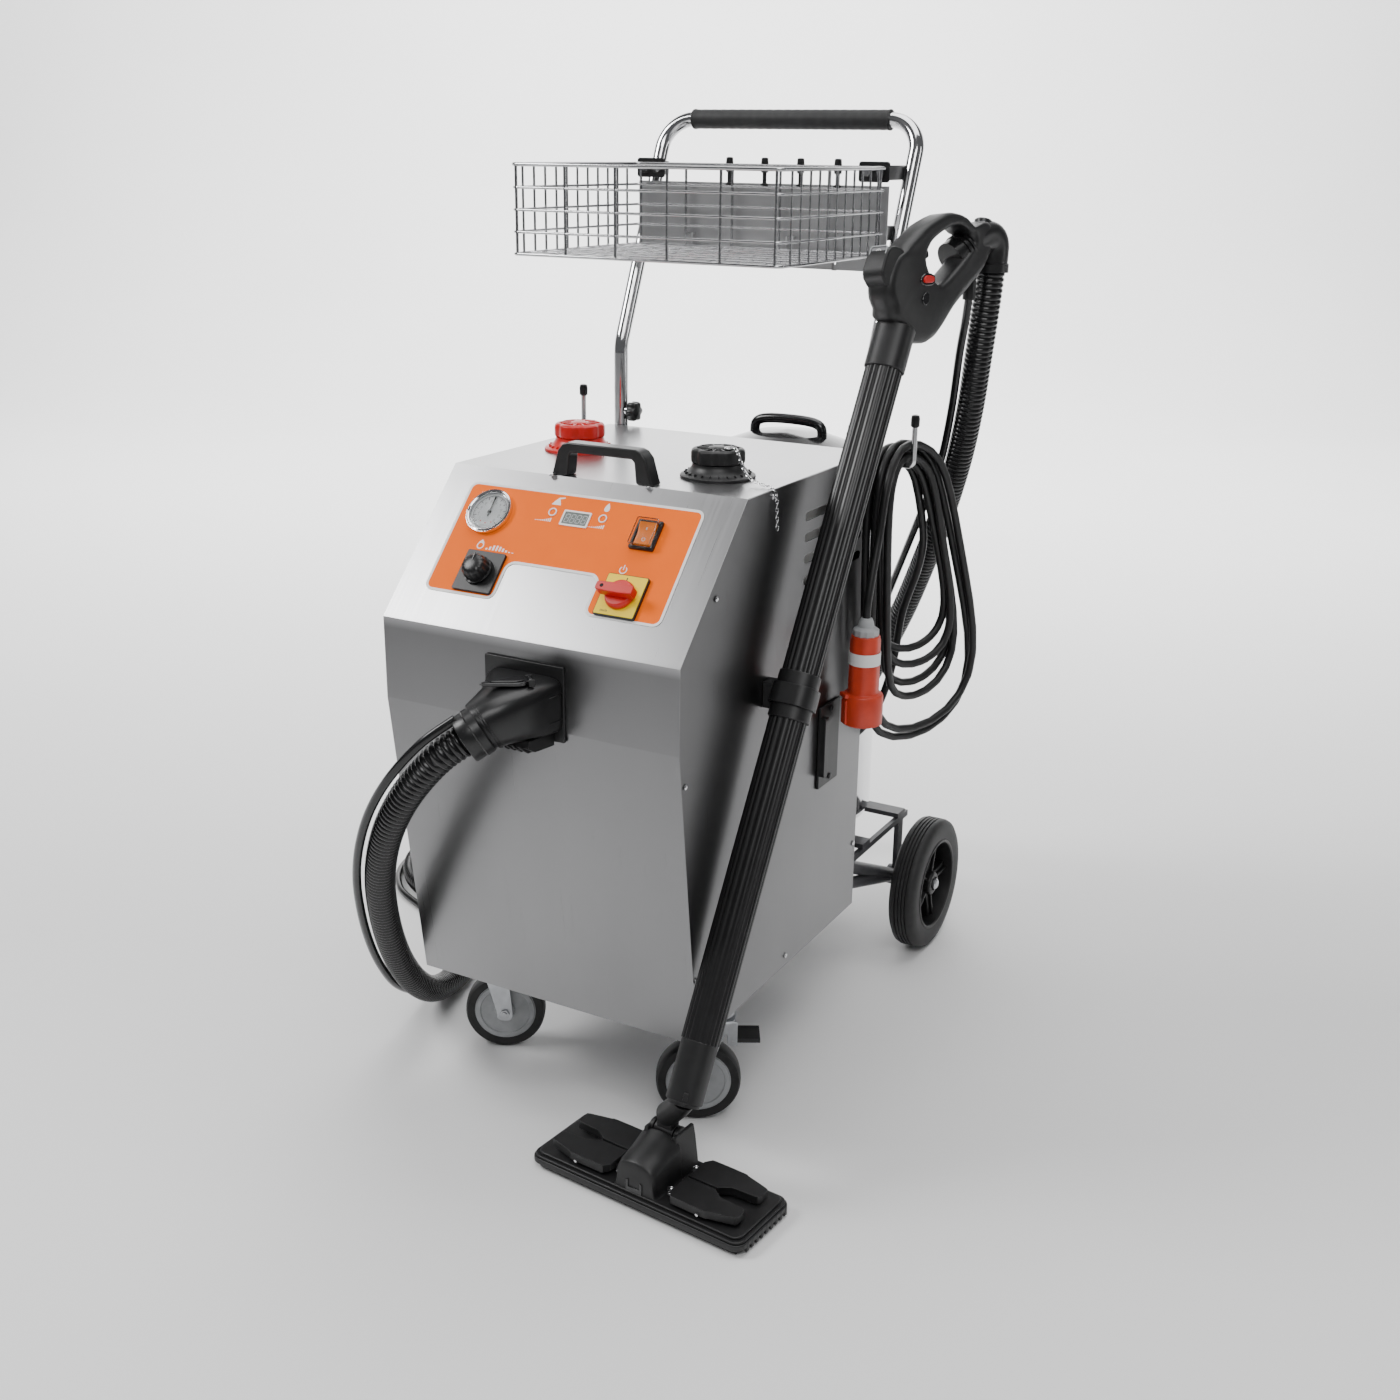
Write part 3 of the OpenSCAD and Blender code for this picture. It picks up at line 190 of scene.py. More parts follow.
def glass(name, color, rough):
    m, tree, shader = principled(name)
    shader.inputs["Base Color"].default_value = (*color, 1)
    shader.inputs["Transmission Weight"].default_value = 1
    shader.inputs["IOR"].default_value = 1.3
    fine = link_noise(tree, 90, (1, 1, 1))
    rough_range = spread(tree, fine, rough, rough + 0.03)
    tree.links.new(rough_range.outputs["Result"], shader.inputs["Roughness"])
    return m


GLASS = glass("clear_glass", (0.97, 0.98, 0.98), 0.01)


# ---------------------------------------------------------------- mesh helpers, all in millimetres
def T(x, y, z):
    return Matrix.Translation((x, y, z))


def R(deg, axis):
    return Matrix.Rotation(math.radians(deg), 4, axis)


def aim(a, b):
    """Frame at a whose Z points to b."""
    d = Vector(b) - Vector(a)
    return T(*a) @ d.to_track_quat("Z", "Y").to_matrix().to_4x4()


def grid_faces(bm, rings, closed_ring=True, cap=True, loop=False):
    n = len(rings[0])
    count = len(rings)
    for i in range(count if loop else count - 1):
        a, b = rings[i], rings[(i + 1) % count]
        for k in range(n if closed_ring else n - 1):
            bm.faces.new((a[k], a[(k + 1) % n], b[(k + 1) % n], b[k]))
    if cap and not loop:
        bm.faces.new(tuple(reversed(rings[0])))
        bm.faces.new(tuple(rings[-1]))


def add_prism(bm, pts, lo, hi, m=Matrix()):
    """2-D outline in XY from lo to hi along Z."""
    rings = [[bm.verts.new(m @ Vector((x, y, z))) for x, y in pts] for z in (lo, hi)]
    grid_faces(bm, rings)


def add_box(bm, x, y, z, m=Matrix()):
    add_prism(bm, [(x[0], y[0]), (x[1], y[0]), (x[1], y[1]), (x[0], y[1])], z[0], z[1], m)


def add_lathe(bm, profile, segs=48, m=Matrix(), wave=None):
    """Closed profile of (r, z) turned about Z. wave(angle, r, z) changes r."""
    rings = []
    for i in range(segs):
        a = 2 * math.pi * i / segs
        ring = []
        for r, z in profile:
            q = wave(a, r, z) if wave else r
            ring.append(bm.verts.new(m @ Vector((q * math.cos(a), q * math.sin(a), z))))
        rings.append(ring)
    grid_faces(bm, rings, loop=True)


def add_turned(bm, profile, segs=48, m=Matrix(), wave=None):
    """Solid of revolution: profile (r, z) from bottom axis to top axis, closed with end faces."""
    rings = []
    for r, z in profile:
        ring = []
        for i in range(segs):
            a = 2 * math.pi * i / segs
            q = wave(a, r, z) if wave else r
            ring.append(bm.verts.new(m @ Vector((q * math.cos(a), q * math.sin(a), z))))
        rings.append(ring)
    grid_faces(bm, rings)


def frames_along(pts):
    """Parallel-transported side vectors along a line of points."""
    n = len(pts)
    dirs = [(pts[min(i + 1, n - 1)] - pts[max(i - 1, 0)]).normalized() for i in range(n)]
    side = dirs[0].orthogonal().normalized()
    out = []
    for d in dirs:
        side = (side - d * side.dot(d)).normalized()
        out.append((side, d.cross(side)))
    return out


def add_tube(bm, pts, radius, sides=12, m=Matrix(), loop=False, squash=1.0):
    pts = [m @ Vector(p) for p in pts]
    rings = []
    for i, (p, (u, v)) in enumerate(zip(pts, frames_along(pts))):
        r = radius[i] if isinstance(radius, list) else radius
        rings.append([bm.verts.new(p + r * math.cos(2 * math.pi * k / sides) * u
                                   + squash * r * math.sin(2 * math.pi * k / sides) * v) for k in range(sides)])
    grid_faces(bm, rings, loop=loop)


def smooth_line(p, steps):
    """Points on a smooth line through p."""
    p = [Vector(q) for q in p]
    out = []
    for i in range(len(p) - 1):
        a, b, c, d = p[max(i - 1, 0)], p[i], p[i + 1], p[min(i + 2, len(p) - 1)]
        for k in range(steps):
            t = k / steps
            out.append(0.5 * (2 * b + t * (c - a) + t * t * (2 * a - 5 * b + 4 * c - d)
                              + t ** 3 * (3 * b - a - 3 * c + d)))
    return out + [p[-1]]


def length_of(pts):
    return sum((b - a).length for a, b in zip(pts, pts[1:]))


def resample(pts, step):
    """Points a fixed distance apart along a line."""
    total = length_of(pts)
    count = max(2, round(total / step))
    step = total / count
    out, need, i, at = [pts[0].copy()], step, 0, pts[0]
    while len(out) < count and i < len(pts) - 1:
        gap = (pts[i + 1] - at).length
        if gap < need:
            need -= gap
            i += 1
            at = pts[i]
        else:
            at = at + (pts[i + 1] - at) * (need / gap)
            out.append(at.copy())
            need = step
    return out + [pts[-1].copy()]


def rounded(x, y, r, n=5):
    """Outline of a rounded rectangle."""
    out = []
    for cx, cy, start in ((x[1] - r, y[1] - r, 0), (x[0] + r, y[1] - r, 90), (x[0] + r, y[0] + r, 180),
                          (x[1] - r, y[0] + r, 270)):
        for k in range(n + 1):
            a = math.radians(start + 90 * k / n)
            out.append((cx + r * math.cos(a), cy + r * math.sin(a)))
    return out


def circle(r, n=24, at=(0, 0)):
    return [(at[0] + r * math.cos(2 * math.pi * k / n), at[1] + r * math.sin(2 * math.pi * k / n)) for k in range(n)]


def soften(pts, steps=4):
    """A smooth closed outline through the corners of pts."""
    n = len(pts)
    out = []
    for i in range(n):
        a, b, c, d = (Vector(pts[(i + k) % n]) for k in (-1, 0, 1, 2))
        for k in range(steps):
            t = k / steps
            q = 0.5 * (2 * b + t * (c - a) + t * t * (2 * a - 5 * b + 4 * c - d) + t ** 3 * (3 * b - a - 3 * c + d))
            out.append((q.x, q.y))
    return out


def make(name, bm, material, body, slot, replaces=(), bevel=0.0, segments=2, angle=35, subdiv=0):
    """Turns a millimetre bmesh into a piece that rides on a body."""
    bmesh.ops.recalc_face_normals(bm, faces=bm.faces)
    bmesh.ops.scale(bm, vec=(MM, MM, MM), verts=bm.verts)
    mesh = bpy.data.meshes.new(name)
    bm.to_mesh(mesh)
    bm.free()
    for m in material if isinstance(material, list) else [material]:
        mesh.materials.append(m)
    ob = bpy.data.objects.new(name, mesh)
    bpy.context.collection.objects.link(ob)
    if bevel:
        mod = ob.modifiers.new("bevel", "BEVEL")
        mod.width = bevel * MM
        mod.segments = segments
        mod.limit_method = "ANGLE"
        mod.angle_limit = math.radians(35)
        mod.harden_normals = False
    if subdiv:
        mod = ob.modifiers.new("subdivision", "SUBSURF")
        mod.levels = mod.render_levels = subdiv
    mesh.shade_smooth()
    mesh.set_sharp_from_angle(angle=math.radians(angle))
    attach(ob, body)
    if replaces:
        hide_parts(*replaces)
    return ob


def new():
    return bmesh.new()


# ---------------------------------------------------------------- shared places, from the CAD
SLOPE = math.degrees(math.atan2(177, 167))
FOLD_Z = 713
DECK = 890


def on_slope(x, u, h=0):
    a = math.radians(SLOPE)
    return T(x, u * math.cos(a), FOLD_Z + u * math.sin(a)) @ R(SLOPE, "X") @ T(0, 0, h)


WAND = T(253, -28, 146) @ R(1.7, "Y") @ R(-28.9, "X")
WAND_LEN = 1060
GUN = WAND @ T(0, 0, WAND_LEN) @ R(-18, "Z")
# outlines on the gun are (y, z): this turns a prism's XY into that plane, with its height along local X
YZ = Matrix(((0, 0, 1, 0), (1, 0, 0, 0), (0, 1, 0, 0), (0, 0, 0, 1)))
TOOL = T(215, -29, 0) @ R(-6, "Z")

# ---------------------------------------------------------------- cords
HOSE_ROUTE = [
    (-12, -109, 615), (-42, -126, 590), (-82, -131, 545), (-122, -122, 492), (-160, -101, 432), (-195, -70, 366),
    (-224, -33, 298), (-249, 8, 230), (-271, 54, 165), (-291, 108, 104), (-312, 172, 55),
    (-334, 245, 28), (-360, 325, 21), (-405, 400, 21), (-475, 460, 21), (-560, 500, 21),
    (-640, 545, 21), (-690, 615, 21), (-695, 705, 21), (-650, 790, 21), (-575, 850, 21),
    (-485, 895, 21), (-395, 935, 22), (-310, 975, 32), (-225, 1005, 65), (-145, 1020, 125),
    (-75, 1020, 200), (-15, 1010, 285), (40, 990, 375), (90, 965, 465), (138, 935, 555),
    (184, 895, 650), (228, 850, 745), (266, 805, 840), (294, 765, 930), (314, 732, 1020),
    (328, 712, 1100), (333, 707, 1150),
]
LINE_ROUTE = [
    (-20, -120, 642), (-54, -146, 612), (-98, -154, 562), (-140, -146, 505), (-180, -124, 440),
    (-216, -92, 372), (-246, -54, 302), (-272, -12, 232), (-294, 34, 166), (-314, 88, 104),
    (-336, 154, 55), (-360, 230, 22), (-386, 306, 8), (-428, 374, 7), (-490, 430, 7),
    (-566, 468, 7), (-652, 513, 7), (-712, 596, 7), (-724, 712, 7), (-672, 814, 7),
    (-590, 878, 7), (-495, 925, 7), (-405, 965, 8), (-318, 1005, 18), (-228, 1034, 56),
    (-144, 1048, 120), (-72, 1050, 198), (-14, 1042, 292), (20, 1018, 390), (62, 982, 486),
    (104, 944, 574), (150, 894, 662), (198, 842, 754), (242, 790, 840), (270, 750, 930),
    (294, 704, 1020), (310, 676, 1070), (318, 662, 1104),
]
LINE_R = 6
LEAD_R = 6


def add_hose():
    pts = resample(smooth_line(HOSE_ROUTE, 8), 1.95)
    shape = (20.9, 20.3, 18.2, 20.3)
    bm = new()
    add_tube(bm, pts, [shape[i % 4] for i in range(len(pts))], 20)
    hose = make("corrugated_hose", bm, HOSE, "body", "black_rubber", ["suction_hose"], angle=80)
    path = [p * MM for p in pts[::6]] + [pts[-1] * MM]
    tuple(path[0])
    length_of(path)
    pts = resample(smooth_line(LINE_ROUTE, 8), 8)
    bm = new()
    add_tube(bm, pts, LINE_R, 12)
    line = make("steam_hose", bm, HOSE, "body", "black_rubber", ["steam_line"], angle=80)
    path = [p * MM for p in pts[::2]] + [pts[-1] * MM]
    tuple(path[0])
    length_of(path)


LANES = (239, 253, 267)
TOP_Y = 588
TOP_R = 53
TOP_Z = 884
LAYER = 13.2
# over the hook: lane, layer on the way up, layer on the way down
TOPS = [(0, 0, 0), (1, 0, 0), (2, 0, 1), (1, 1, 1), (0, 1, 2), (1, 2, 2), (2, 2, 2)]
# below, between two tops: half width, lowest point, centre y
BOTTOMS = [(63, 574, 634), (66, 552, 628), (86, 498, 634), (84, 516, 644), (112, 424, 644), (112, 442, 634)]
LEAD_START = [(190, 575, 430), (190, 592, 430), (192, 612, 432), (198, 634, 440), (206, 652, 456), (214, 665, 480),
              (220, 677, 512), (224, 688, 550), (226, 694, 590), (230, 694, 632), (236, 684, 680), (239, 670, 730),
              (239, 656, 780)]
LEAD_END = [(267, 500, 790), (267, 487, 757), (268, 474, 726), (268, 465, 700), (268, 462, 682), (268, 462, 668)]


def eased(t):
    return t * t * (3 - 2 * t)


def hank_points():
    """Turns hung over the hook. Lanes change at the bottom of a turn and layers at its top, so no two cross."""
    out = []
    for n, (lane, layer, after) in enumerate(TOPS):
        for k in range(11):
            a = math.pi * k / 10
            at = layer + (after - layer) * eased(k / 10)
            r = TOP_R + LAYER * at
            out.append(Vector((LANES[lane], TOP_Y + r * math.cos(a), TOP_Z + LAYER * at - r + r * math.sin(a))))
        if n == len(TOPS) - 1:
            break
        half, low, mid = BOTTOMS[n]
        front = Vector((LANES[lane], mid - half, low + half))
        start = out[-1]
        out += [start.lerp(front, k / 6) for k in range(1, 6)]
        next_lane, next_layer, _ = TOPS[n + 1]
        for k in range(11):
            a = math.pi + math.pi * k / 10
            x = LANES[lane] + (LANES[next_lane] - LANES[lane]) * eased(k / 10)
            out.append(Vector((x, mid + half * math.cos(a), low + half + half * math.sin(a))))
        r = TOP_R + LAYER * next_layer
        over = Vector((LANES[next_lane], TOP_Y + r, TOP_Z + LAYER * next_layer - r))
        start = out[-1]
        out += [start.lerp(over, k / 6) for k in range(1, 6)]
    return out


def splayed(pts, low, high):
    """Swings the rear of the hung turns outward, fading in between two heights."""
    return [p + Vector((0.5 * max(0, p.y - 592) * eased(min(1, max(0, (p.z - low) / (high - low)))), 0, 0))
            for p in pts]


def relaxed(pts, rounds):
    """Evens out the corners of a line, with its ends held."""
    for _ in range(rounds):
        pts = pts[:2] + [(pts[i - 1] + 2 * pts[i] + pts[i + 1]) / 4 for i in range(2, len(pts) - 2)] + pts[-2:]
    return pts


def plug_parts():
    """Red industrial plug with a grey gland, under the end of the lead."""
    m = T(268, 462, 0)
    bm = new()
    add_turned(bm, [(15, 511), (22, 511), (24, 513), (29, 514), (29.5, 530), (29.5, 556), (28, 559), (23, 561),
                    (22.5, 566), (22, 640), (20.5, 646), (15, 647)], 48, m,
               lambda a, r, z: r - (0.8 if r > 21.9 and 566 <= z <= 640 and math.cos(8 * a) > 0.4 else 0))
    add_box(bm, (-7, 7), (-31, -20), (516, 552), m @ R(-40, "Z"))
    add_box(bm, (-9, 9), (-33, -26), (556, 562), m @ R(-40, "Z"))
    body = make("plug_shell", bm, PLUG_RED, "body", "red_plastic", ["mains_plug"], bevel=0.8)
    bm = new()
    add_turned(bm, [(6.2, 640.5), (17, 640.5), (18.5, 643), (18.5, 655), (16, 657), (12, 659), (10.5, 666), (8.5, 671),
                    (6.4, 672)], 36, m, lambda a, r, z: r + (0.7 * math.cos(12 * a) if r > 17 else 0))
    gland = make("plug_gland", bm, LIGHT_GREY, "body", "grey_plastic", bevel=0.4)
    bm = new()
    add_lathe(bm, [(22.2, 604), (23, 604), (23, 622), (22.2, 622)], 48, m)
    band = make("plug_band", bm, WHITE, "body", "white_plastic")
    return [body, gland, band]


def add_lead():
    start = splayed(smooth_line(LEAD_START, 4)[:-1], 600, 800)
    route = start + splayed(relaxed(hank_points(), 3), 100, 200) + smooth_line(LEAD_END, 4)
    pts = resample([route[0]] + relaxed(route, 2)[1:], 9)
    bm = new()
    add_tube(bm, pts, LEAD_R, 12)
    lead = make("mains_lead", bm, LEAD, "body", "black_rubber", ["power_lead", "lead_hank"], angle=80)
    path = [p * MM for p in pts]
    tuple(path[0])
    length_of(path)
    plug_parts()
    bm = new()
    add_turned(bm, [(6.2, 0), (13, 0), (13, 5), (11.5, 7), (10.5, 16), (9.2, 26), (8, 34), (6.3, 36)], 32,
               T(190, 563, 430) @ R(-90, "X"), lambda a, r, z: r + (0.5 if 7 < z < 34 and int(z) % 2 else 0))
    make("lead_gland", bm, BLACK, "body", "black_plastic")


add_hose()
add_lead()


# ---------------------------------------------------------------- carried-over CAD nodes
def dress(material, *nodes):
    for node in nodes:
        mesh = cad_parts[node].data
        mesh.materials.clear()
        mesh.materials.append(material)


dress(STEEL, "front_cover")
dress(STEEL_SIDE, "side_panels", "rear_panel")
dress(DARK_STEEL, "chassis", "rear_frame", "water_pump")
dress(CHROME, "pressure_gauge", "handle_posts", "handle_frame", "storage_hooks", "vacuum_drum")
dress(BLACK_SATIN, "gauge_needle")
dress(GLASS, "gauge_glass")
dress(STEEL_PLATE, "boiler")
dress(GREY, "suction_duct")
dress(BLACK_GLOSS, "vacuum_head")


# ---------------------------------------------------------------- control face
def fillet(corners, r, n=6):
    """Closed outline with each corner of the polygon rounded, inward ones too."""
    out = []
    count = len(corners)
    for i in range(count):
        p, a, b = (Vector(corners[(i + k) % count]) for k in (0, -1, 1))
        u, v = (a - p).normalized(), (b - p).normalized()
        centre = p + (u + v) * r
        for k in range(n + 1):
            t = math.pi / 2 * k / n
            q = centre - v * r * math.cos(t) - u * r * math.sin(t)
            out.append((q.x, q.y))
    return out


def shrunk(pts, d):
    """Outline moved inwards by d along its own normals."""
    n = len(pts)
    area = sum(pts[i][0] * pts[(i + 1) % n][1] - pts[(i + 1) % n][0] * pts[i][1] for i in range(n))
    sign = 1 if area > 0 else -1
    out = []
    for i in range(n):
        t = (Vector(pts[(i + 1) % n]) - Vector(pts[i - 1])).normalized()
        out.append((pts[i][0] - sign * d * t.y, pts[i][1] + sign * d * t.x))
    return out


def add_ring(bm, outer, inner, lo, hi, m=Matrix()):
    """Solid between two outlines that have the same number of points."""
    rings = []
    for a, b in zip(outer, inner):
        rings.append([bm.verts.new(m @ Vector(q)) for q in ((a[0], a[1], lo), (a[0], a[1], hi),
                                                            (b[0], b[1], hi), (b[0], b[1], lo))])
    grid_faces(bm, rings, loop=True)


FACE = on_slope(0, 0)
GAUGE = on_slope(-133.5, 174)
SWITCH = on_slope(110.5, 81.5)
DIALER = on_slope(-108, 84.5)
ROCKER = on_slope(109, 172)
DISPLAY = on_slope(-2, 181.7)
PRINT = (0.66, 0.84)

bm = new()
film = fillet([(-183, 49), (-72, 49), (-72, 105), (66, 105), (66, 49), (177, 49), (177, 218.5), (-183, 218.5)], 12)
add_prism(bm, shrunk(film, 0.4), 0.05, 0.65, FACE)
make("overlay_film", bm, ORANGE, "body", "orange_film", ["control_overlay"])
bm = new()
add_ring(bm, film, shrunk(film, 3.6), 0.1, PRINT[1], FACE)


def add_bars(bm, x, u, heights, pitch=2.7, width=1.7):
    for i, h in enumerate(heights):
        add_box(bm, (x + i * pitch, x + i * pitch + width), (u, u + h), PRINT, FACE)


def add_bits(bm):
    """Icons printed on the film: iron, drop, steam, power sign and level bars."""
    for x in (-40, 37):
        add_ring(bm, circle(6.1, 32, (x, 187.5)), circle(4.6, 32, (x, 187.5)), PRINT[0], 1.9, FACE)
    add_bars(bm, -62, 173, [0.8, 0.9, 1.1, 1.4, 2, 2.8, 3.6, 4.6, 5.6], 2.8)
    add_bars(bm, 19, 173, [0.8, 0.9, 1.1, 1.4, 2, 2.8, 3.6, 4.6, 5.6], 2.8)
    iron = [(-47, 199), (-33, 199), (-33.5, 201), (-37, 208), (-30, 210), (-30.4, 211.6), (-39, 210), (-44, 204)]
    add_prism(bm, iron, *PRINT, FACE)
    drop = [(37 + 4.6 * math.sin(t) * math.sin(t / 2) ** 1.2, 205 + 6.6 * math.cos(t))
            for t in (2 * math.pi * k / 28 for k in range(28))]
    add_prism(bm, [(37 + (x - 37) * 1.15, y) for x, y in drop], *PRINT, FACE)
    add_bars(bm, -116, 119, [2.5, 5, 7.5, 8, 7, 5, 3, 1.4, 1], 5.2, 2.8)
    add_ring(bm, circle(5.4, 24, (-126, 124)), circle(3.9, 24, (-126, 124)), *PRINT, FACE)
    add_prism(bm, [(-131, 128), (-126, 133), (-121, 128), (-126, 130)], *PRINT, FACE)
    arc = [(96 + r * math.sin(math.radians(a)), 119.5 + r * math.cos(math.radians(a)))
           for r, seq in ((5.6, range(35, 326, 15)), (4.2, range(325, 34, -15))) for a in seq]
    add_prism(bm, arc, *PRINT, FACE)
    add_box(bm, (95.3, 96.7), (119.5, 127), PRINT, FACE)
    outer = rounded((-21, 21), (-11.5, 11.5), 1.5)
    add_ring(bm, outer, rounded((-18.6, 18.6), (-9.1, 9.1), 0.8), 0.66, 2.1, DISPLAY)


add_bits(bm)
make("film_print", bm, WHITE, "body", "white_plastic", ["display_module"])

SEGMENTS = (((-2.3, 2.3), (5.4, 6.4)), ((-2.3, 2.3), (-0.5, 0.5)), ((-2.3, 2.3), (-6.4, -5.4)),
            ((-3.4, -2.4), (0.7, 5.4)), ((2.4, 3.4), (0.7, 5.4)), ((-3.4, -2.4), (-5.4, -0.7)),
            ((2.4, 3.4), (-5.4, -0.7)))
bm = new()
add_prism(bm, rounded((-18.5, 18.5), (-9, 9), 0.8), 0.66, 1.3, DISPLAY)
make("display_screen", bm, SCREEN, "body", "grey_plastic")
bm = new()
lean = Matrix(((1, 0.12, 0, 0), (0, 1, 0, 0), (0, 0, 1, 0), (0, 0, 0, 1)))
for x in (-12.9, -4.3, 4.3, 12.9):
    for sx, sy in SEGMENTS:
        add_box(bm, sx, sy, (1.31, 1.42), DISPLAY @ T(x, 0, 0) @ lean)
make("display_digits", bm, LIGHT_GREY, "body", "grey_plastic")


def add_gauge():
    bm = new()
    add_prism(bm, circle(28.7, 64), 1.55, 1.95, GAUGE)
    make("gauge_dial", bm, DIAL, "body", "white_plastic")
    bm = new()
    for i in range(51):
        a = 135 - 270 * i / 50
        long = i % 5 == 0
        add_box(bm, (-0.45 if long else -0.2, 0.45 if long else 0.2), (20 if long else 22, 24.5), (1.96, 2.06),
                GAUGE @ R(a, "Z"))
    add_ring(bm, circle(25.2, 64), circle(24.6, 64), 1.96, 2.06, GAUGE)
    for i in range(10):
        a = 135 - 270 * i / 9
        m = GAUGE @ R(a, "Z") @ T(0, 16.6, 0) @ R(-a, "Z")
        for sx, sy in SEGMENTS[: 3 + i % 5]:
            add_box(bm, [0.36 * q for q in sx], [0.36 * q for q in sy], (1.96, 2.06), m)
    make("gauge_scale", bm, BLACK_SATIN, "body", "black_plastic")
    bm = new()
    for a in (150, 180, 210):
        add_prism(bm, circle(1.1, 12), 1.96, 2.06, GAUGE @ R(a, "Z") @ T(0, 17, 0))
    make("gauge_red_marks", bm, RED, "body", "red_plastic")
    bm = new()
    add_lathe(bm, [(29.2, 7.2), (30.5, 8.1), (32.4, 7.6), (33.1, 6.2), (33.1, 0.7), (29.6, 0.7)], 72, GAUGE)
    make("gauge_bezel", bm, CHROME, "body", "chrome_trim")


add_gauge()


def add_switches():
    bm = new()
    add_prism(bm, rounded((-30, 30), (-30, 30), 3), 0.66, 5, SWITCH)
    add_ring(bm, rounded((-18, 18), (-21.5, 21.5), 2), rounded((-13.2, 13.2), (-17.2, 17.2), 1), 0.66, 5, ROCKER)
    add_prism(bm, rounded((-30, 30), (-30, 30), 2.5), 0.66, 5, DIALER)
    add_ring(bm, rounded((-16.5, 16.5), (-20, 20), 1.5), rounded((-13.3, 13.3), (-17.3, 17.3), 1), 5, 6, ROCKER)
    make("switch_bases", bm, BLACK, "body", "black_plastic", ["switch_frames"], bevel=0.5)
    bm = new()
    add_prism(bm, rounded((-28.6, 28.6), (-28.6, 28.6), 2), 5.01, 6.1, SWITCH)
    make("switch_yellow_plate", bm, YELLOW, "body", "yellow_plastic", bevel=0.3)
    bm = new()
    add_box(bm, (-0.8, 0.8), (20.5, 25.5), (6.11, 6.2), SWITCH)
    add_ring(bm, circle(2.4, 20, (-23.5, 0)), circle(1.5, 20, (-23.5, 0)), 6.11, 6.2, SWITCH)
    for i in range(6):
        add_box(bm, (-20 + 1.8 * i, -19.1 + 1.8 * i), (-25, -22.5), (6.11, 6.2), SWITCH)
    for i in range(9):
        a = 130 - 32.5 * i
        add_box(bm, (-0.35, 0.35), (22.5, 25 if i % 2 else 26.5), (5.01, 5.12), DIALER @ R(a, "Z"))
    make("switch_marks", bm, BLACK_SATIN, "body", "black_plastic")

    bm = new()
    add_turned(bm, [(20, 6.35), (20.4, 8.5), (19, 12.5), (17.5, 14.2)], 48, SWITCH)
    bar = soften([(-26.5, -4), (-26.5, 4), (-23, 6), (-8, 6.8), (10, 6.8), (23, 6), (26, 4), (26, -4), (23, -6),
                  (10, -6.8), (-8, -6.8), (-23, -6)], 3)
    add_prism(bm, bar, 13.4, 27, SWITCH)
    make("main_switch_grip", bm, RED, "main_switch", "red_plastic", ["main_switch_knob"], bevel=2.2, segments=3)
    bm = new()
    # painted shade: the lock hole is a flat black disc standing in for the shade inside the hole
    add_prism(bm, circle(2.6, 20, (-18, 0)), 26.8, 27.15, SWITCH)
    make("main_switch_lock_hole", bm, BLACK_GLOSS, "main_switch", "black_plastic")

    def ribs(a, r, z):
        return r * (1 - 0.075 * (0.5 + 0.5 * math.cos(14 * a))) if 12 < r < 19 and z > 9 else r

    bm = new()
    add_turned(bm, [(20, 5.3), (20.5, 6.5), (20.3, 8.8), (18.6, 9.4), (18.4, 11), (18, 16), (17, 21), (14.5, 24.5),
                    (10, 26.2), (4, 26.8)], 84, DIALER, ribs)
    add_box(bm, (-0.7, 0.7), (4, 15), (26, 27.2), DIALER)
    make("regulator_grip", bm, BLACK_SATIN, "regulator", "black_plastic", ["regulator_knob"])

    bm = new()
    add_prism(bm, [(-15.5, -3), (0, -9), (15.5, -3), (15.5, 7.5), (0, 3), (-15.5, 3)], -12.6, 12.6,
              ROCKER @ T(0, 0, 2) @ YZ)
    make("rocker_key", bm, AMBER, "rocker", "amber_plastic", ["rocker_switch"], bevel=1)
    bm = new()
    add_box(bm, (-0.7, 0.7), (5, 11), (6.2, 7.4), ROCKER)
    add_ring(bm, circle(2.8, 20, (0, -8)), circle(2.0, 20, (0, -8)), 4.6, 5.15, ROCKER)
    make("rocker_marks", bm, WHITE, "rocker", "white_plastic")
    bm = new()
    outer, inner = rounded((-15.6, 15.6), (-19.6, 19.6), 2.5), rounded((-14.6, 14.6), (-18.6, 18.6), 1.8)
    add_ring(bm, outer, inner, 6.05, 13, ROCKER)
    add_prism(bm, outer, 13, 14, ROCKER)
    make("rocker_clear_cover", bm, GLASS, "body", "clear_glass", bevel=0.4)


add_switches()


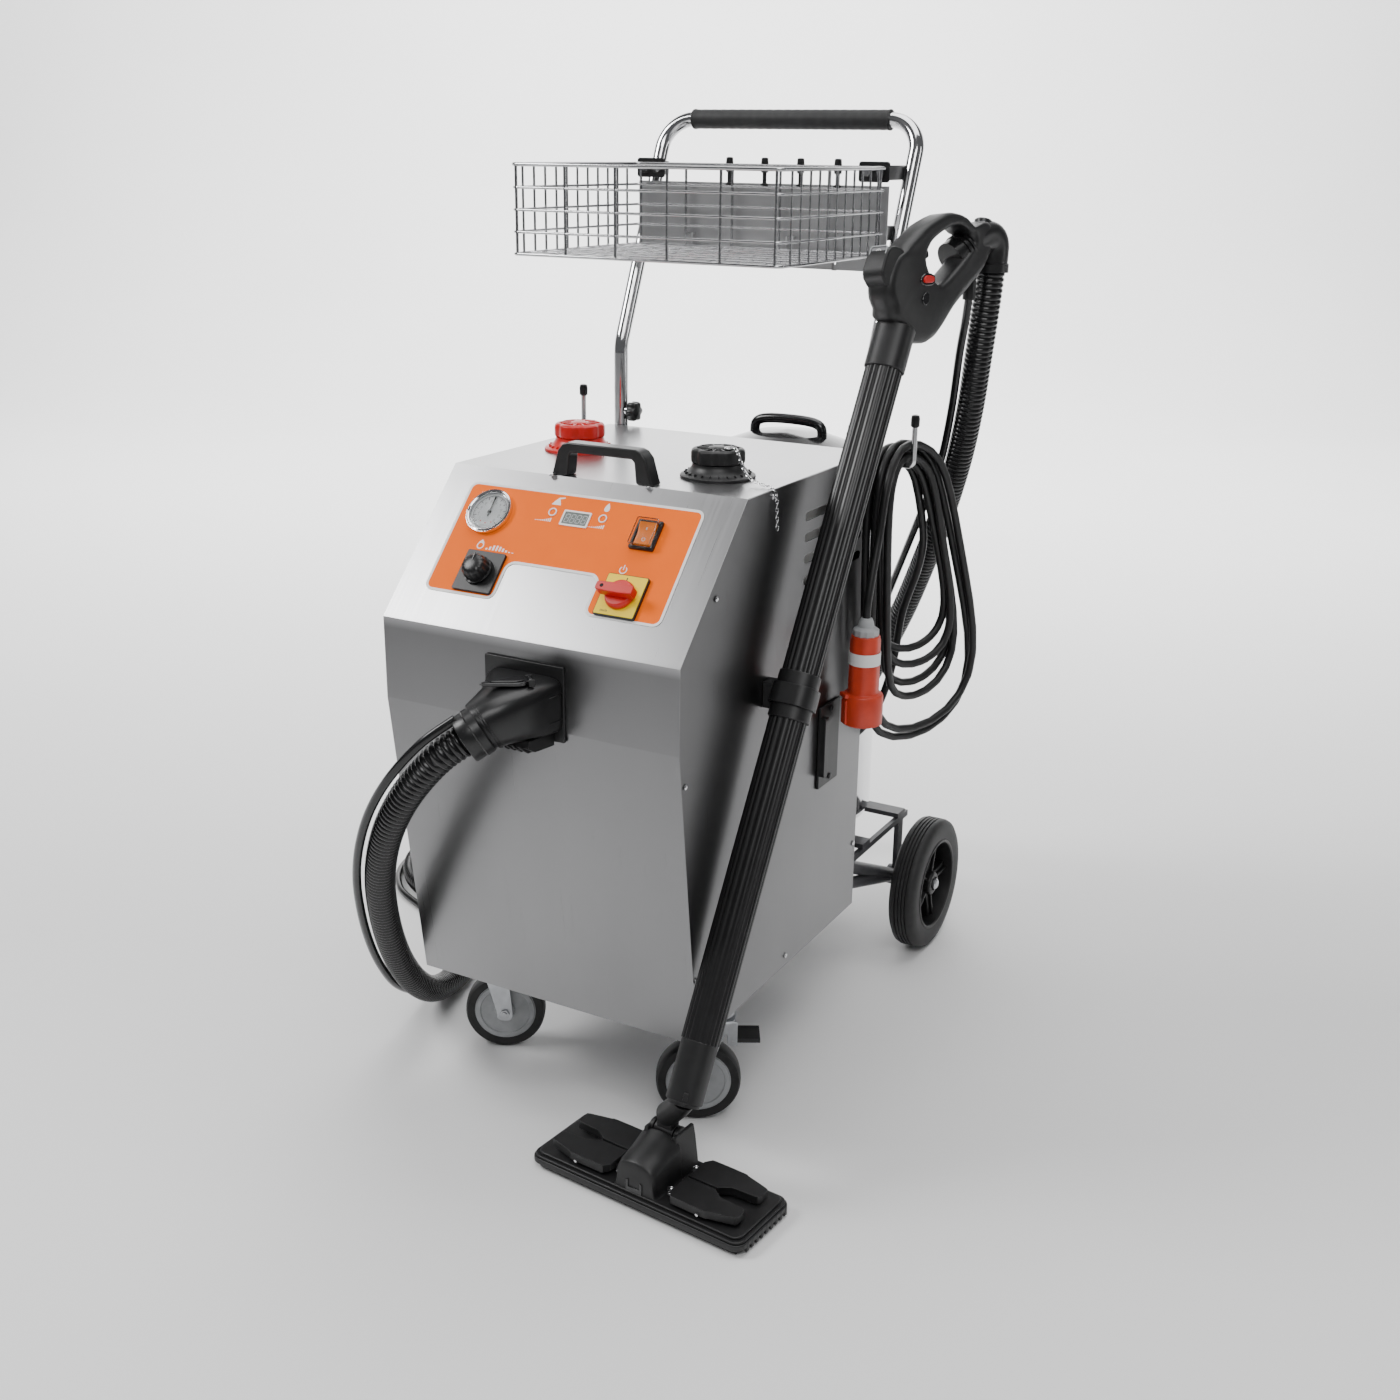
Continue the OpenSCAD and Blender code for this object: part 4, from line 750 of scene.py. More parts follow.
# ---------------------------------------------------------------- deck
def add_deck():
    bm = new()
    outline = [(-78, 0.2), (-76, 4), (-67, 34), (-60, 42), (-52, 45), (52, 45), (60, 42), (67, 34), (76, 4), (78, 0.2),
               (53, 0.2), (52, 6), (50, 28), (46, 32), (-46, 32), (-50, 28), (-52, 6), (-53, 0.2)]
    add_prism(bm, outline, -12, 12, T(9, 180, DECK) @ R(90, "X"))
    make("top_handle", bm, BLACK_SATIN, "body", "black_plastic", ["deck_handle"], bevel=3.6, segments=4)
    bm = new()
    for x in (-36, 54):
        add_turned(bm, [(4.5, 0), (4.5, 1.6), (2.4, 2.6), (0.8, 2.6)], 20, T(x + (-28 if x < 0 else 28), 163, DECK))
    make("top_handle_screws", bm, CHROME, "body", "chrome_trim")

    neck = [(24, -30), (29, -30), (29, 0.1), (50, 0.1), (50.5, 1.5), (50, 3.6), (47.5, 5), (43, 6), (39, 9.5),
            (35.5, 14), (34.4, 17), (34.2, 19), (24, 19)]

    def scallop(a, r, z):
        return r * (1 - 0.085 * (0.5 + 0.5 * math.cos(6 * a)) ** 3) if r > 26 else r

    for at, colour, slot, body, old, name in (((125, 274), BLACK, "black_plastic", "water_cap", "water_cap", "water"),
                                              ((-139, 346), RED, "red_plastic", "detergent_cap", "detergent_cap",
                                               "detergent")):
        place = T(at[0], at[1], DECK)
        bm = new()
        add_lathe(bm, neck, 64, place)
        for k in range(24):
            add_box(bm, (40, 45), (-0.5, 0.5), (5, 8.2), place @ R(15 * k, "Z"))
        make(name + "_neck", bm, colour, "body", slot, ["water_filler"] if name == "water" else ["tanks"])
        bm = new()
        lid = [(23.6, 7), (23.6, 19.4), (34, 19.4), (35.6, 20.6), (36, 24), (36, 33), (35, 36.5), (32.5, 38.4),
               (29, 38.8), (27.5, 37), (14, 37), (12.5, 39.4), (9, 40.6), (3, 41)]
        add_turned(bm, lid, 96, place, scallop)
        for k in range(12):
            add_box(bm, (13, 29), (-1, 1), (36.5, 39), place @ R(30 * k + 15, "Z"))
        make(name + "_lid", bm, colour, body, slot, [old], bevel=0.3)
    bm = new()
    add_prism(bm, rounded((44, 208), (206, 540), 12), 300, 850)
    add_prism(bm, rounded((-208, -60), (280, 540), 12), 690, 850)
    make("tank_shells", bm, TANK, "body", "white_plastic")

    chain = [(143, 268, 931), (151, 264, 932.5), (160, 259, 931.5), (168, 255, 919), (176, 252, 906), (190, 246, 897),
             (208, 241, 893.5),
             (222, 238.6, 892), (229.5, 238, 884), (231, 238, 860), (232, 238, 838)]
    pts = resample(smooth_line(chain, 6), 5.6)
    bm = new()
    for i in range(len(pts) - 1):
        m = aim(pts[i], pts[i + 1]) @ R(90 * (i % 2), "Z")
        gap = (pts[i + 1] - pts[i]).length
        link = [(1.9 * math.cos(a), 0, gap / 2 + (3.9 * math.sin(a))) for a in
                (2 * math.pi * k / 14 for k in range(14))]
        add_tube(bm, link, 0.62, 6, m, loop=True)
    add_turned(bm, [(5.5, 0), (5.5, 1), (3.5, 2.4), (1, 2.8)], 20, T(*chain[0]) @ T(0, 0, -1.4))
    add_turned(bm, [(4.5, 0), (4.5, 1.6), (2.4, 2.6), (0.8, 2.6)], 20, T(225.1, 238, 881) @ R(90, "Y"))
    make("cap_chain_links", bm, CHROME, "body", "chrome_trim", ["cap_chain"])


add_deck()


# ---------------------------------------------------------------- hose coupling
def add_loft(bm, sections, n=32, m=Matrix()):
    """Solid through sections of (centre, direction, half width, half height, squareness)."""
    rings = []
    for centre, way, w, h, power in sections:
        d = Vector(way).normalized()
        right = d.cross(Vector((0, 0, 1))).normalized()
        up = right.cross(d)
        ring = []
        for k in range(n):
            a = 2 * math.pi * k / n
            c, s = math.cos(a), math.sin(a)
            x = w * math.copysign(abs(c) ** (2 / power), c)
            y = h * math.copysign(abs(s) ** (2 / power), s)
            ring.append(bm.verts.new(m @ (Vector(centre) + right * x + up * y)))
        rings.append(ring)
    grid_faces(bm, rings)


def add_coupling():
    bm = new()
    add_prism(bm, rounded((-59, 61), (589, 689), 1.5), 0.1, 4.1, R(90, "X"))
    make("coupling_flange", bm, BLACK, "body", "black_plastic", ["hose_coupling"], bevel=0.6)
    bm = new()
    add_loft(bm, [((4, -4, 638), (0, -1, 0), 54, 37, 7), ((5, -16, 638), (0, -1, 0), 53.5, 37, 6),
                  ((7, -34, 638.5), (-0.1, -1, 0), 50, 36.5, 4.5), ((8, -52, 639), (-0.25, -1, -0.02), 45, 36, 3.6),
                  ((6, -70, 637), (-0.45, -1, -0.1), 39, 34.5, 3), ((0, -86, 632), (-0.7, -0.9, -0.3), 34, 32.5, 2.6),
                  ((-6, -96, 625), (-0.75, -0.75, -0.5), 31, 31, 2.2)])
    make("coupling_elbow", bm, BLACK_SATIN, "body", "black_plastic", bevel=1.5, angle=50)
    bm = new()
    a, b = Vector((8, -88, 632)), Vector((-12, -109, 615))
    m = aim(a, b)
    far = (b - a).length
    sleeve = [(20.9, -20), (30, -24), (32, -22), (32.4, -12), (31, -10.5), (31.2, 3), (30, 5), (22, 5.5), (20.95, 4)]
    add_lathe(bm, [(r, far + z) for r, z in sleeve], 56, m)
    for t in (4.5, 7.5):
        add_lathe(bm, [(29, far - 24 - t), (32.2, far - 24 - t), (32.2, far - 22.6 - t), (29, far - 22.6 - t)], 56, m)
    make("coupling_collar", bm, BLACK_SATIN, "body", "black_plastic", angle=40)
    bm = new()
    wedge = [(-4.2, 603), (-58, 606), (-62, 597), (-46, 588), (-4.2, 584)]
    add_prism(bm, wedge, -22, 46, YZ)
    for x in (-15, -5, 5, 15, 25, 35):
        add_prism(bm, [(-4.2, 586), (-50, 590), (-66, 600), (-66, 597), (-50, 586), (-4.2, 581.5)], x, x + 3, YZ)
    for z in (621, 655):
        add_prism(bm, [(-50.5, -4), (-49.5, -30), (58.8, -30), (59, -4)], z, z + 1.6)
    make("coupling_wedge", bm, BLACK, "body", "black_plastic", bevel=0.7)
    place = T(14, -60, 675) @ R(-45, "Z")
    bm = new()
    drop = soften([(0, -31), (-3.6, -27), (-8, -6), (-12.4, 10), (-12, 20), (-6.5, 27), (0, 28), (6.5, 27), (12, 20),
                   (12.4, 10), (8, -6), (3.6, -27)], 3)
    add_prism(bm, drop, 0.4, 5.2, place)
    add_prism(bm, [(x * 0.62, y * 0.72 + 2) for x, y in drop], 5, 6.6, place)
    add_turned(bm, [(3.6, -8.6), (3.6, 8.6)], 20, place @ T(0, 30, 4.4) @ R(90, "Y"))
    make("coupling_lever", bm, BLACK_GLOSS, "latch", "black_plastic", ["coupling_latch"], bevel=1.0, segments=2)
    bm = new()
    for x in (-12, 9):
        add_box(bm, (x, x + 3), (26, 34), (-1.5, 7.4), place)
    add_turned(bm, [(1.4, -11.8), (1.4, 11.8)], 12, place @ T(0, 30, 4.4) @ R(90, "Y"))
    make("coupling_lever_lugs", bm, BLACK, "body", "black_plastic", bevel=0.5)


add_coupling()


# ---------------------------------------------------------------- wand, gun and floor tool
def add_wand():
    def shell(bm, lo, hi, rx, ry, flutes=0.0):
        n = 120
        rings = []
        heights = [lo, lo + 1.2, hi - 1.2, hi]
        for z in heights:
            inset = 1.0 if z in (lo, hi) else 0
            ring = []
            for k in range(n):
                a = 2 * math.pi * k / n
                c, s = math.cos(a), math.sin(a)
                x = (rx - inset) * math.copysign(abs(c) ** 0.86, c)
                y = (ry - inset) * math.copysign(abs(s) ** 0.86, s)
                q = 1 - flutes * (0.5 + 0.5 * math.cos(20 * a)) ** 2
                ring.append(bm.verts.new(WAND @ Vector((x * q, y * q, z))))
            rings.append(ring)
        grid_faces(bm, rings)

    bm = new()
    shell(bm, -2, 78, 24.5, 21)
    shell(bm, 508, 572, 28.5, 23)
    shell(bm, 1000, 1062, 28, 22.5)
    make("wand_collars", bm, BLACK, "body", "black_plastic", ["wand_tubes"], angle=30)
    bm = new()
    shell(bm, 76, 509, 26, 20.5, 0.05)
    shell(bm, 571, 1001, 26, 20.5, 0.05)
    for lo, hi in ((120, 470), (600, 960)):
        for z in range(lo, hi, 7):
            add_prism(bm, [(19, z), (22.6, z + 0.8), (22.6, z + 3.2), (19, z + 4.4)], -4, 4, WAND @ R(-50, "Z") @ YZ)
    make("wand_fluted_tubes", bm, BLACK_SATIN, "body", "black_plastic", angle=30)
    bm = new()
    add_lathe(bm, [(20, 0), (21.8, 0), (21.8, 5), (20, 5)], 40, WAND @ T(0, 0, -6))
    top = [(218, -10, 104), (226, -14, 113), (238, -20, 127), (246, -24, 137), (253, -28, 148)]
    add_tube(bm, smooth_line(top, 4), 16.3, 28)
    add_box(bm, (-11, 12), (12, 30), (78, 106), TOOL)
    add_turned(bm, [(12, -15), (12, 15)], 32, TOOL @ T(0, 21, 78) @ R(90, "Y"))
    add_box(bm, (-3, 3), (-25, -20), (2, 12), WAND @ R(25, "Z"))
    make("tool_neck", bm, BLACK, "body", "black_plastic", bevel=0.6)
    bm = new()
    add_box(bm, (225.1, 250), (222, 246), (600, 636))
    add_ring(bm, [(x, y) for x, y in rounded((-31, 31), (-26, 26), 20, 6)],
             [(x, y) for x, y in rounded((-28.4, 28.4), (-23, 23), 19, 6)], 526, 554, WAND)
    add_box(bm, (225.1, 229), (404, 470), (420, 545))
    add_box(bm, (228, 237), (404, 416), (440, 530))
    for z in (430, 535):
        add_turned(bm, [(4.5, 0), (4.5, 2), (2, 3)], 16, T(229, 440, z) @ R(90, "Y"))
    make("wand_holder", bm, BLACK, "body", "black_plastic", bevel=0.9)


add_wand()

GUN_OUTLINE = [(-28, 0.5), (-33, 8), (-50, 20), (-60, 42), (-57, 74), (-46, 90), (-36, 110), (-18, 139), (4, 163),
               (24, 181), (44, 190), (66, 194), (88, 192), (102, 208), (116, 214), (131, 208), (136, 190),
               (136, 176), (134, 160), (126, 138), (92, 76), (50, 0.5)]
GUN_HOLE = [(49, 88), (72, 124), (90, 160), (91, 172), (76, 179), (50, 176), (26, 156), (10, 134), (3, 112), (6, 98),
            (20, 88), (36, 84)]


def cast(outline, centre, angle):
    """Distance from the centre to a closed outline in a direction."""
    d = Vector((math.cos(angle), math.sin(angle)))
    best = None
    for i in range(len(outline)):
        a = Vector(outline[i]) - centre
        e = Vector(outline[(i + 1) % len(outline)]) - centre - a
        det = d.x * -e.y + e.x * d.y
        if abs(det) < 1e-9:
            continue
        t = (a.x * -e.y + e.x * a.y) / det
        s = (d.x * a.y - d.y * a.x) / det
        if t > 0 and -1e-6 <= s <= 1 + 1e-6 and (best is None or t > best):
            best = t
    return best


def add_gun():
    centre = Vector((44, 134))
    outline, hole = soften(GUN_OUTLINE, 4), soften(GUN_HOLE, 4)
    bm = new()
    rings = []
    for k in range(120):
        a = 2 * math.pi * k / 120
        ro, ri = cast(outline, centre, a), cast(hole, centre, a)
        d = Vector((math.cos(a), math.sin(a)))
        ring = []
        band = ro - ri
        edge = min(14, band * 0.42)
        low = max(0.0, min(1.0, (band - 60) / 60))
        half = 21 + 3 * low
        profile = []
        for t in (0, 30, 60, 90):
            q = math.radians(t)
            profile.append((ri + edge * 0.7 * (1 - math.cos(q)), (half - edge * 0.7) + edge * 0.7 * math.sin(q)))
        for t in (90, 60, 30, 0):
            q = math.radians(t)
            profile.append((ro - edge * (1 - math.cos(q)), (half - edge) + edge * math.sin(q)))
        for r, x in profile + [(r, -x) for r, x in reversed(profile)]:
            p = centre + d * r
            ring.append(bm.verts.new(GUN @ Vector((x, p.x, p.y))))
        rings.append(ring)
    grid_faces(bm, rings, loop=True)
    make("gun_shell", bm, BLACK, "body", "black_plastic", ["gun_body"], angle=60)
    bm = new()
    path = [(300, 628, 1158), (308, 645, 1168), (317, 664, 1179), (325, 683, 1186), (331, 698, 1186),
            (333.5, 706, 1177), (333.5, 707.5, 1163), (333, 707, 1146)]
    line = smooth_line(path, 5)
    add_tube(bm, line, [24.5 if i < 7 else 22.6 for i in range(len(line))], 36)
    add_lathe(bm, [(21.2, 0), (24.6, 0), (24.6, 12), (23, 13), (21.2, 13)], 48, T(333, 707, 1138))
    m = aim(path[1], path[2])
    for z in (-4, 4):
        add_lathe(bm, [(22, z), (26.2, z), (26.2, z + 3.4), (22, z + 3.4)], 48, m)
    add_turned(bm, [(9, 0), (9.3, 2), (9, 30), (8, 38)], 28, T(318, 662, 1102))
    add_turned(bm, [(13, 0), (13, 5), (11, 7)], 28, T(322, 690, 1204) @ R(-20, "X"))
    make("gun_swivel", bm, BLACK_SATIN, "body", "black_plastic", angle=40)
    bm = new()
    box = [(-70, 40), (-75, 62), (-70, 84), (-44, 92), (-30, 70), (-38, 34)]
    add_prism(bm, soften(box, 3), -18, 18, GUN @ YZ)
    make("gun_button_box", bm, BLACK, "body", "black_plastic", bevel=3, segments=3)
    bm = new()
    plate = GUN @ T(0, -71.5, 68) @ R(90, "X") @ R(0, "Z")
    add_ring(bm, rounded((-14.6, 14.6), (-17, 17), 4), rounded((-13, 13), (-15.4, 15.4), 3), 0, 2.9, plate)
    make("gun_button_rim", bm, LIGHT_GREY, "body", "grey_plastic", bevel=0.4)
    for node, z in (("gun_button_up", 76), ("gun_button_down", 60)):
        m = GUN @ T(0, -71, z) @ R(90, "X")
        bm = new()
        add_prism(bm, rounded((-12.4, 12.4), (-7, 7), 3), -3, 2.4, m)
        make(node + "_pad", bm, GREY, node.replace("gun_", ""), "grey_plastic", [node], bevel=0.8)
        bm = new()
        add_ring(bm, circle(4.6, 24), circle(3.7, 24), 2.41, 2.62, m)
        if node == "gun_button_up":
            add_prism(bm, [(-2.4, -1.8), (2.4, -1.8), (0, 2.6)], 2.41, 2.62, m)
        else:
            add_prism(bm, [(-1.8, -1.8), (1.8, -1.8), (1.8, 1.8), (-1.8, 1.8)], 2.41, 2.62, m)
        make(node + "_icon", bm, WHITE, node.replace("gun_", ""), "grey_plastic")
    bm = new()
    add_prism(bm, soften([(-3, 70), (4, 64), (22, 72), (26, 80), (20, 87), (4, 82)], 3), 20.5, 24.8, GUN @ YZ)
    make("gun_lock_recess", bm, BLACK_GLOSS, "body", "black_plastic", bevel=1.6)
    bm = new()
    add_prism(bm, soften([(1, 71), (5, 68), (19, 75), (21, 80), (17, 83), (4, 78)], 3), 20, 27.5, GUN @ YZ)
    make("gun_lock_slider", bm, RED, "lock", "red_plastic", ["gun_lock"], bevel=1.2)
    bm = new()
    add_prism(bm, soften([(12, 44), (20, 42), (24, 48), (22, 58), (15, 60), (11, 52)], 3), 22, 24.9, GUN @ YZ)
    make("gun_oval_recess", bm, BLACK_GLOSS, "body", "black_plastic", bevel=1.2)
    bm = new()
    add_prism(bm, soften([(-9, 104), (7, 104), (19, 112), (20, 118), (12, 126), (14, 134), (0, 141), (-10, 139)], 3),
              -6.4, 6.4, GUN @ YZ)
    make("gun_trigger_blade", bm, BLACK_SATIN, "trigger", "black_plastic", ["gun_trigger"], bevel=1.8, segments=3)


add_gun()


def add_floor_tool():
    def edge(x, y, r, lo, hi, bm, inset=0):
        add_prism(bm, rounded((-x + inset, x - inset), (-y + inset, y - inset), r, 6), lo, hi, TOOL)

    bm = new()
    edge(170, 61, 16, 9, 17, bm)
    edge(168, 59, 15, 17.2, 20.6, bm)
    edge(165, 56, 14, 3, 9, bm)
    edge(163, 54, 12, 20.4, 24.2, bm)
    for side in (-1, 1):
        for k in range(9):
            add_box(bm, (side * 168 - 2.2, side * 168 + 2.2), (-44 + k * 11, -38 + k * 11), (3, 16), TOOL)
    make("tool_plate", bm, BLACK, "tool", "black_plastic", ["floor_tool"], bevel=1.4, segments=3)
    bm = new()
    for y in (-50, 50):
        for k in range(150):
            x = -158 + k * 2.12
            add_box(bm, (x, x + 1.1), (y - 2.5, y + 2.5), (0.2, 4), TOOL)
    make("tool_bristles", bm, BLACK_SATIN, "tool", "black_plastic")

    def arch(w, top, y, m=TOOL):
        pts = [(-w - 7, 22), (-w - 2, 26), (-w, 34)]
        for k in range(9):
            a = math.pi - math.pi * k / 8
            pts.append(((w - 1) * math.cos(a), top - 16 + 16 * math.sin(a)))
        return [m @ Vector((x, y, z)) for x, z in pts + [(w, 34), (w + 2, 26), (w + 7, 22)]]

    bm = new()
    rows = [(29, 58, -52), (30, 66, -49), (31, 70, -42), (32, 75, -20), (33, 82, 0), (33, 85, 8)]
    grid_faces(bm, [[bm.verts.new(p) for p in arch(*row)] for row in rows])
    for side in (-1, 1):
        prism = [(side * 16.4, 22), (side * 16.4, 76), (side * 20, 85), (side * 25, 85), (side * 28, 70),
                 (side * 32, 40), (side * 34, 22)]
        add_prism(bm, prism, -46, -3.5, TOOL @ R(90, "X"))
        add_turned(bm, [(12.4, side * 16.4), (12.4, side * 23)], 28, TOOL @ T(0, 21, 78) @ R(90, "Y"))
    add_box(bm, (-17, 17), (36, 46), (22, 50), TOOL)
    make("tool_hump", bm, BLACK, "tool", "black_plastic", bevel=1.6, segments=3)
    bm = new()
    notch = [(-13, 24), (-13, 40), (-9, 42), (-9, 31), (9, 31), (9, 42), (13, 40), (13, 24)]
    add_prism(bm, notch, 52.1, 53.4, TOOL @ R(90, "X"))
    make("tool_notch", bm, BLACK_GLOSS, "tool", "black_plastic", bevel=0.4)
    corners = [(49, 1), (52, 0.4), (90, 0.4), (94, 1.4), (105, 9), (112, 11.5), (142, 13), (147, 16), (149, 22),
               (148, 33), (144, 37), (112, 45), (106, 47), (60, 47), (54, 45), (49, 38), (48, 34)]
    outline = soften(corners, 2)
    for node, side, back in (("tool_clip_front_left", -1, False), ("tool_clip_front_right", 1, False),
                             ("tool_clip_rear_left", -1, True), ("tool_clip_rear_right", 1, True)):
        m = TOOL @ Matrix.Diagonal((side, 1 if back else -1, 1, 1))
        bm = new()
        add_prism(bm, [(x, y + 1.4) for x, y in outline], 28.4, 39.6, m)
        make(node + "_plate", bm, BLACK, node.replace("tool_", ""), "black_plastic", [node], bevel=2.6, segments=3)
    bm = new()
    for x in (-98, 98):
        for y in (-50.6, 50.6):
            add_turned(bm, [(2.3, -1.6), (2.3, 1.2), (1.2, 1.8)], 16,
                       TOOL @ T(x, y, 31) @ R(90 if y < 0 else -90, "X"))
    for side in (-1, 1):
        for y in (-28, 28):
            coil = [(4.6 * math.cos(a), 4.6 * math.sin(a), 1.3 * a / 3.1) for a in
                    (2 * math.pi * k / 12 for k in range(12 * 4 + 1))]
            add_tube(bm, coil, 0.7, 6, TOOL @ T(side * 42, y, 24.4))
    make("tool_pins_and_springs", bm, CHROME, "tool", "chrome_trim")


add_floor_tool()


# ---------------------------------------------------------------- wheels
def add_wheels():
    rim = 78
    for side, name in ((-1, "left"), (1, "right")):
        place = T(side * 249, 817, 112) @ R(90 * side, "Y")
        bm = new()
        tread = [(rim, -22), (92, -23.5), (104, -22.5), (110, -18.5), (112, -13)]
        for z in (-9, -3, 3, 9):
            tread += [(112, z - 1.4), (109.6, z - 0.9), (109.6, z + 0.9), (112, z + 1.4)]
        tread += [(112, 13), (110, 18.5), (104, 22.5), (92, 23.5), (rim, 22)]
        add_lathe(bm, tread, 96, place)
        make("rear_tyre_" + name, bm, RUBBER, "wheel_" + name, "tyre_rubber", ["wheel_tyre_" + name], angle=40)
        bm = new()
        add_lathe(bm, [(rim, -22.5), (rim, 22.5), (75, 24), (72.5, 22.5), (71, 6), (71, -22.5)], 72, place)
        add_lathe(bm, [(8.2, -24), (20, -24), (20, 15), (18, 17.5), (12, 18), (12, 15), (8.2, 15)], 40, place)
        add_lathe(bm, [(20, -5), (74, -9), (74, -12), (20, -9)], 72, place)
        for k in range(5):
            spoke = [(17, -13), (40, -8.5), (73, -12), (73, 12), (40, 8.5), (17, 13)]
            add_prism(bm, spoke, -8, 6, place @ R(72 * k + 90, "Z"))
            add_prism(bm, [(17, -2.2), (73, -2.2), (73, 2.2), (17, 2.2)], 5, 11, place @ R(72 * k + 90, "Z"))
        make("rear_rim_" + name, bm, BLACK, "wheel_" + name, "black_plastic", ["wheel_hub_" + name], bevel=1.2)
        bm = new()
        add_turned(bm, [(9.5, 18.2), (9.5, 21), (7, 23.4), (2, 24)], 32, place)
        make("rear_axle_cap_" + name, bm, ZINC, "wheel_" + name, "zinc_steel")


def add_casters():
    for side, name, turn in ((-1, "left", 30), (1, "right", 210)):
        place = T(side * 196, 165, 0) @ R(turn, "Z")
        axle = place @ T(25, 0, 60) @ R(-90, "X")
        bm = new()
        add_lathe(bm, [(46, -13), (57, -15), (59.4, -11), (60, -5), (60, 5), (59.4, 11), (57, 15), (46, 13)], 72, axle)
        make("caster_tyre_" + name, bm, RUBBER, "caster_roller_" + name, "tyre_rubber", ["caster_wheel_" + name])
        bm = new()
        add_lathe(bm, [(5.2, -14.5), (14, -15.5), (16, -12), (46.2, -12.6), (46.2, 12.6), (16, 12), (14, 15.5),
                       (5.2, 14.5)], 64, axle)
        add_lathe(bm, [(38, -14.4), (44, -14.4), (45, -12), (45, 12), (44, 14.4), (38, 14.4), (36.5, 12),
                       (36.5, -12)], 64, axle)
        make("caster_rim_" + name, bm, DISC, "caster_roller_" + name, "grey_plastic", angle=30)
        bm = new()
        for y in (-1, 1):
            leg = soften([(-20, 160), (26, 160), (30, 140), (36, 72), (36, 52), (25, 47), (14, 52), (12, 66),
                          (-6, 128), (-20, 148)], 3)
            add_prism(bm, leg, 18.6 * y if y > 0 else -21.6, 21.6 if y > 0 else -18.6, place @ R(90, "X"))
        add_prism(bm, soften([(-22, -21.4), (2, -24), (27, -21.4), (29, 0), (27, 21.4), (2, 24), (-22, 21.4),
                              (-25, 0)], 3), 157, 160.5, place)
        add_turned(bm, [(22, 160.6), (24, 162), (24, 166), (21, 168.6)], 48, place)
        for y in (-22.3, 22.3):
            nut = [(7.5 * math.cos(math.pi / 3 * k), 7.5 * math.sin(math.pi / 3 * k)) for k in range(6)]
            add_prism(bm, nut, -2.6, 2.6, place @ T(25, y, 60) @ R(90, "X"))
            add_turned(bm, [(4, -4.4), (4, 4.4)], 16, place @ T(25, y, 60) @ R(90, "X"))
        if side > 0:
            for y in ((-22, -19), (19, 22)):
                add_box(bm, (-28, -14), y, (122, 159), place)
            add_turned(bm, [(2.5, -22.6), (2.5, 22.6)], 16, place @ T(-22, 0, 128) @ R(90, "X"))
        make("caster_frame_" + name, bm, ZINC, "caster_" + name, "zinc_steel", ["caster_fork_" + name], bevel=0.6)
    dress(BLACK, "brake_pedal")


add_wheels()
add_casters()


# ---------------------------------------------------------------- handle, tray and basket
LEAN = 23
LEAN_LEN = 348


def on_lean(s):
    return T(0, 636, 1000) @ R(-LEAN, "X") @ T(0, -60, s)


